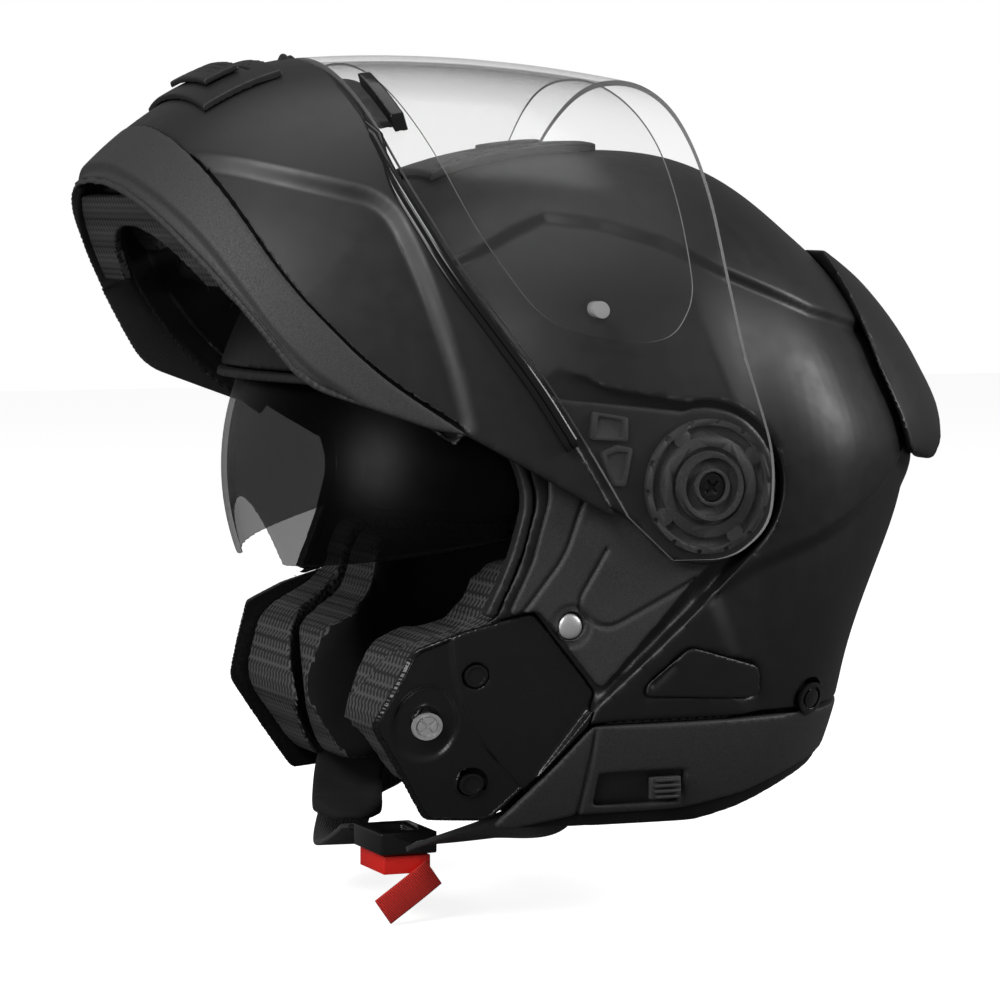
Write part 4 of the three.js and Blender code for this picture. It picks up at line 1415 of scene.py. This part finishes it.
def anti_fog_insert():
    outline = rounded(INSERT_OUTLINE, 14)
    sheet = meet(visor_layer(VISOR_WALL + 0.4, VISOR_WALL + 1.3), side_prism(outline))
    return edged(crisp(minus(sheet, rod_x(5.2, centre=INSERT_PIN)), 25), outline, CLEAR_EDGE)


def visor_seal():
    outline = [(-102, -63.6), (-135, -69), (-REACH, -61.5), (-REACH, -56.5), (-135, -64), (-102, -58.6)]
    strip = meet(visor_layer(VISOR_WALL + 0.4, VISOR_WALL + 3), side_prism(rounded(outline, 8)))
    return soften(minus(strip, swept_cavity()), 0.6, 4)


def gasket_bead(line, offset, radius, sides=14):
    """A round rubber bead that follows a side-view line over the chin bar, from one pivot to the other."""
    form = VISOR_FORM
    path = []
    for y, z in smooth_path(line, 12, 10):
        half, front = form["half_width"](z) - offset, form["front"](z) - offset
        share = min(abs(y) / front, 1.0) if y < 0 else 0.0
        path.append(((1 - share ** form["power"]) ** (1 / form["power"]) * half, y, z))
    path = [p for p in path if p[0] > 0.5]
    fine = []
    for a, b in zip(path, path[1:]):
        steps = max(1, int(math.dist(a, b) / 3))
        fine += [Vector(a).lerp(Vector(b), k / steps) for k in range(steps)]
    fine.append(Vector(path[-1]))
    front_y = -(form["front"](fine[-1].z) - offset)
    fine.append(Vector((0, front_y, fine[-1].z)))
    fine += [Vector((-p.x, p.y, p.z)) for p in reversed(fine[:-1])]
    turn = np.linspace(0, 2 * math.pi, sides, endpoint=False)
    profile = [(radius * math.cos(t), radius * math.sin(t)) for t in turn]
    return carried(fine, [Vector((0, 0, 1))] * len(fine), profile, [1.0] * len(fine))


def outward(obj):
    mesh = bmesh.new()
    mesh.from_mesh(obj.data)
    bmesh.ops.recalc_face_normals(mesh, faces=mesh.faces)
    mesh.to_mesh(obj.data)
    mesh.free()
    return obj


def visor_tab():
    tab = meet(visor_layer(-5, -0.4), block((22, 200, 5), (62, -160, -58)))
    return soften(tab, 0.5, 5)


def insert_pin(side):
    pin = meet(visor_layer(-1.8, VISOR_WALL + 1.6), side_rod(side, 3, INSERT_PIN))
    return bevelled(pin, 0.5, 3)


def visor_base_plate(side):
    """Pivot disc with a raised boss, ring channels and a broken ratchet ring."""
    top, deep = PLATE_OUT - 0.3, PLATE_OUT - 2.2
    plate = rod_x(24, *span(side, ARM_OUT + 0.3, top), sides=144)
    plate = plus(plate, rod_x(12, *span(side, ARM_OUT + 0.3, PLATE_OUT + 3), sides=96))
    plate = minus(plate, ring_x(side, 21.8, 18.2, deep, top + 1))
    plate = minus(plate, ring_x(side, 14.2, 12.6, deep, top + 1))
    for i in range(4):
        angle = math.radians(14 + 90 * i)
        centre = (20 * math.cos(angle), 20 * math.sin(angle))
        plate = plus(plate, rod_x(3.2, *span(side, deep - 0.4, top), centre=centre, sides=24))
    for i in range(14):
        angle = math.radians(360 / 14 * i)
        centre = (23.6 * math.cos(angle), 23.6 * math.sin(angle))
        plate = minus(plate, rod_x(1.1, *span(side, deep, REACH), centre=centre, sides=16))
    dish = ring_x(side, 10.4, 6.6, PLATE_OUT + 1.0, PLATE_OUT + 4)
    plate = minus(plate, dish, rod_x(5.4, *span(side, 0, REACH)))
    return bevelled(plate, 0.3)


def ring_x(side, outer, inner, near, far):
    hole = rod_x(inner, *span(side, near - 1, far + 1), sides=120)
    return minus(rod_x(outer, *span(side, near, far), sides=120), hole)


def pivot_screw(side):
    """Countersunk screw with a cross recess."""
    screw = rod_x(5, *span(side, ARM_IN + 0.6, PLATE_OUT + 2))
    face = PLATE_OUT + 2
    for turn in (20, 110):
        bar = block((2.4, 6.0, 1.3), (0, 0, 0), math.radians(turn))
        bar.data.transform(Matrix.Translation((side * (face - 0.4), 0, 0)))
        screw = minus(screw, bar)
    return bevelled(screw, 0.3)


def pivot_base(side):
    return bevelled(rod_x(9, *span(side, FLOOR + 0.3, ARM_IN + 0.2)), 0.3)


# Each maker below is named after its CAD node, without the side.
MIDDLE_PIECES = {
    outer_shell: MATTE, eps_liner: FOAM, crown_liner: MESH, eye_port_seal: RUBBER, lower_rim: TRIM,
    sun_lever_track: RUBBER, sun_visor_lever: TRIM, neck_roll: SOFT, rear_spoiler: MATTE, top_vent: SATIN,
    top_vent_slider: SATIN, sun_visor: SMOKE, buckle_body: GLOSS, ratchet_tongue: GLOSS, buckle_lever: RED,
    pull_tab: RED_WEB,
}
MIDDLE_CHIN_PIECES = {
    chin_bar_shell: SATIN, chin_trim: TRIM, chin_foam: MESH, release_button: GLOSS, chin_curtain: MESH,
    breath_guard: RUBBER, mouth_vent_base: SATIN, mouth_vent_slider: SATIN, visor_shield: CLEAR,
    anti_fog_insert: CLEAR, visor_seal: RUBBER, visor_tab: GLOSS,
}
SIDE_PIECES = {
    cheek_foam: MESH, cheek_pad: MESH, side_panel: TRIM, lock_plate: PLATE, latch_pin: STEEL,
    strap_rivet: STEEL, pivot_base: STEEL, comm_cover: MATTE, rim_plug: GLOSS, strap: BLACK_WEB,
}
# The latch hooks take the darkened copy of the steel, whose colour is painted shade.
SIDE_CHIN_PIECES = {
    insert_pin: CLEAR_EDGE, latch_hook: SHADED_STEEL, visor_base_plate: TRIM, pivot_screw: GLOSS,
}


def build():
    for makers, on_chin in ((MIDDLE_PIECES, False), (MIDDLE_CHIN_PIECES, True)):
        for make, material in makers.items():
            piece(make(), make.__name__, material, on_chin)
    piece(neck_edge(), "lower_rim", SOFT, name="neck_edge_roll")
    for place, (across, out, radius) in GASKET_BEADS.items():
        line = shifted(GASKET_START + GASKET_LINE[1:-1], across)
        bead = gasket_bead(line + [(-150, GASKET_FRONT_Z + across)], out, radius)
        piece(bead, "visor_seal", GLOSS, chin=True, name="gasket_bead_" + place)
    for name, side in SIDES.items():
        for makers, on_chin in ((SIDE_PIECES, False), (SIDE_CHIN_PIECES, True)):
            for make, material in makers.items():
                piece(make(side), f"{make.__name__}_{name}", material, on_chin)
        for place, at in CAPS.items():
            piece(lock_plate_cap(side, at), f"lock_plate_cap_{place}_{name}", GLOSS)
        piece(strap_pad(side), "strap_" + name, SOFT, name="strap_pad_" + name)
        piece(arm_cover(side), "chin_bar_shell", TRIM, chin=True, name="arm_cover_" + name)


build()


# ---------------------------------------------------------------- floor, light and camera
FLOOR_GLOW = 0.8
FLOOR_SEEN_BY_LIGHT = 0.1
FILL_LIGHT = 0.17
LAMPS = [
    ("key", (0.97, -1.03, 0.95), 0.7, 15),
    ("rear", (0.7, 1.4, 0.7), 0.7, 14),
    ("front", (0.6, -1.5, 0.05), 0.7, 9),
    ("top", (0.0, 0.0, 1.8), 1.4, 8),
]
CAMERA_AZIMUTH, CAMERA_ELEVATION = math.radians(68.5), math.radians(4.3)
CAMERA_DISTANCE = 1.6
CAMERA_LENS = 151.2
CAMERA_AIM = PIVOT + Vector((-10.36, -28.97, -13.01)) * MM


def pale_paper():
    """Pale paper that shows near white to the camera without lighting the helmet from below."""
    shader = Shader("pale_floor", grey(0.82), 0.9)
    seen = shader.add("LightPath").outputs["Is Camera Ray"]
    shader.vary_color(seen, grey(FLOOR_SEEN_BY_LIGHT), grey(0.82))
    shader.bump(shader.noise(1.5), 0.1, 0.05)
    shader.surface.inputs["Emission Color"].default_value = (1, 1, 1, 1)
    shader.link(shader.between(seen, 0, 1, 0, FLOOR_GLOW), shader.surface.inputs["Emission Strength"])
    return shader.material


def studio():
    low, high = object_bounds()
    half = 12 * max(h - l for l, h in zip(low, high))
    corners = [(x * half, y * half, low[2] - MM) for x, y in ((-1, -1), (1, -1), (1, 1), (-1, 1))]
    floor = new_object("floor", corners, [(0, 1, 2, 3)])
    floor.data.materials.append(pale_paper())
    floor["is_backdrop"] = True
    scene = bpy.context.scene
    scene.view_settings.view_transform = "Standard"
    scene.cycles.transparent_max_bounces = 48
    world = bpy.data.worlds.new("studio")
    bpy.context.scene.world = world
    world.use_nodes = True
    tree = world.node_tree
    fill = tree.nodes["Background"]
    fill.inputs["Strength"].default_value = FILL_LIGHT
    backdrop = tree.nodes.new("ShaderNodeBackground")
    backdrop.inputs["Strength"].default_value = 1.0
    seen = tree.nodes.new("ShaderNodeLightPath")
    mix = tree.nodes.new("ShaderNodeMixShader")
    tree.links.new(seen.outputs["Is Camera Ray"], mix.inputs["Fac"])
    tree.links.new(fill.outputs["Background"], mix.inputs[1])
    tree.links.new(backdrop.outputs["Background"], mix.inputs[2])
    tree.links.new(mix.outputs["Shader"], tree.nodes["World Output"].inputs["Surface"])
    for node in (fill, backdrop):
        node.inputs["Color"].default_value = (1, 1, 1, 1)
    for name, place, width, power in LAMPS:
        lamp = bpy.data.lights.new(name, "AREA")
        lamp.size = width
        lamp.energy = power
        obj = bpy.data.objects.new(name, lamp)
        obj.location = place
        obj.rotation_euler = (Vector((0, 0, 0)) - Vector(place)).to_track_quat("-Z", "Y").to_euler()
        bpy.context.scene.collection.objects.link(obj)
        obj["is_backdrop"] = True


def camera():
    data = bpy.data.cameras.new("main_view")
    data.lens = CAMERA_LENS
    data.sensor_width = 36
    out = Vector((
        math.sin(CAMERA_AZIMUTH) * math.cos(CAMERA_ELEVATION),
        -math.cos(CAMERA_AZIMUTH) * math.cos(CAMERA_ELEVATION),
        math.sin(CAMERA_ELEVATION),
    ))
    obj = bpy.data.objects.new("main_view", data)
    obj.location = CAMERA_AIM + out * CAMERA_DISTANCE
    obj.rotation_euler = (-out).to_track_quat("-Z", "Y").to_euler()
    bpy.context.scene.collection.objects.link(obj)
    bpy.context.scene.camera = obj
    obj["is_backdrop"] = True


studio()
camera()
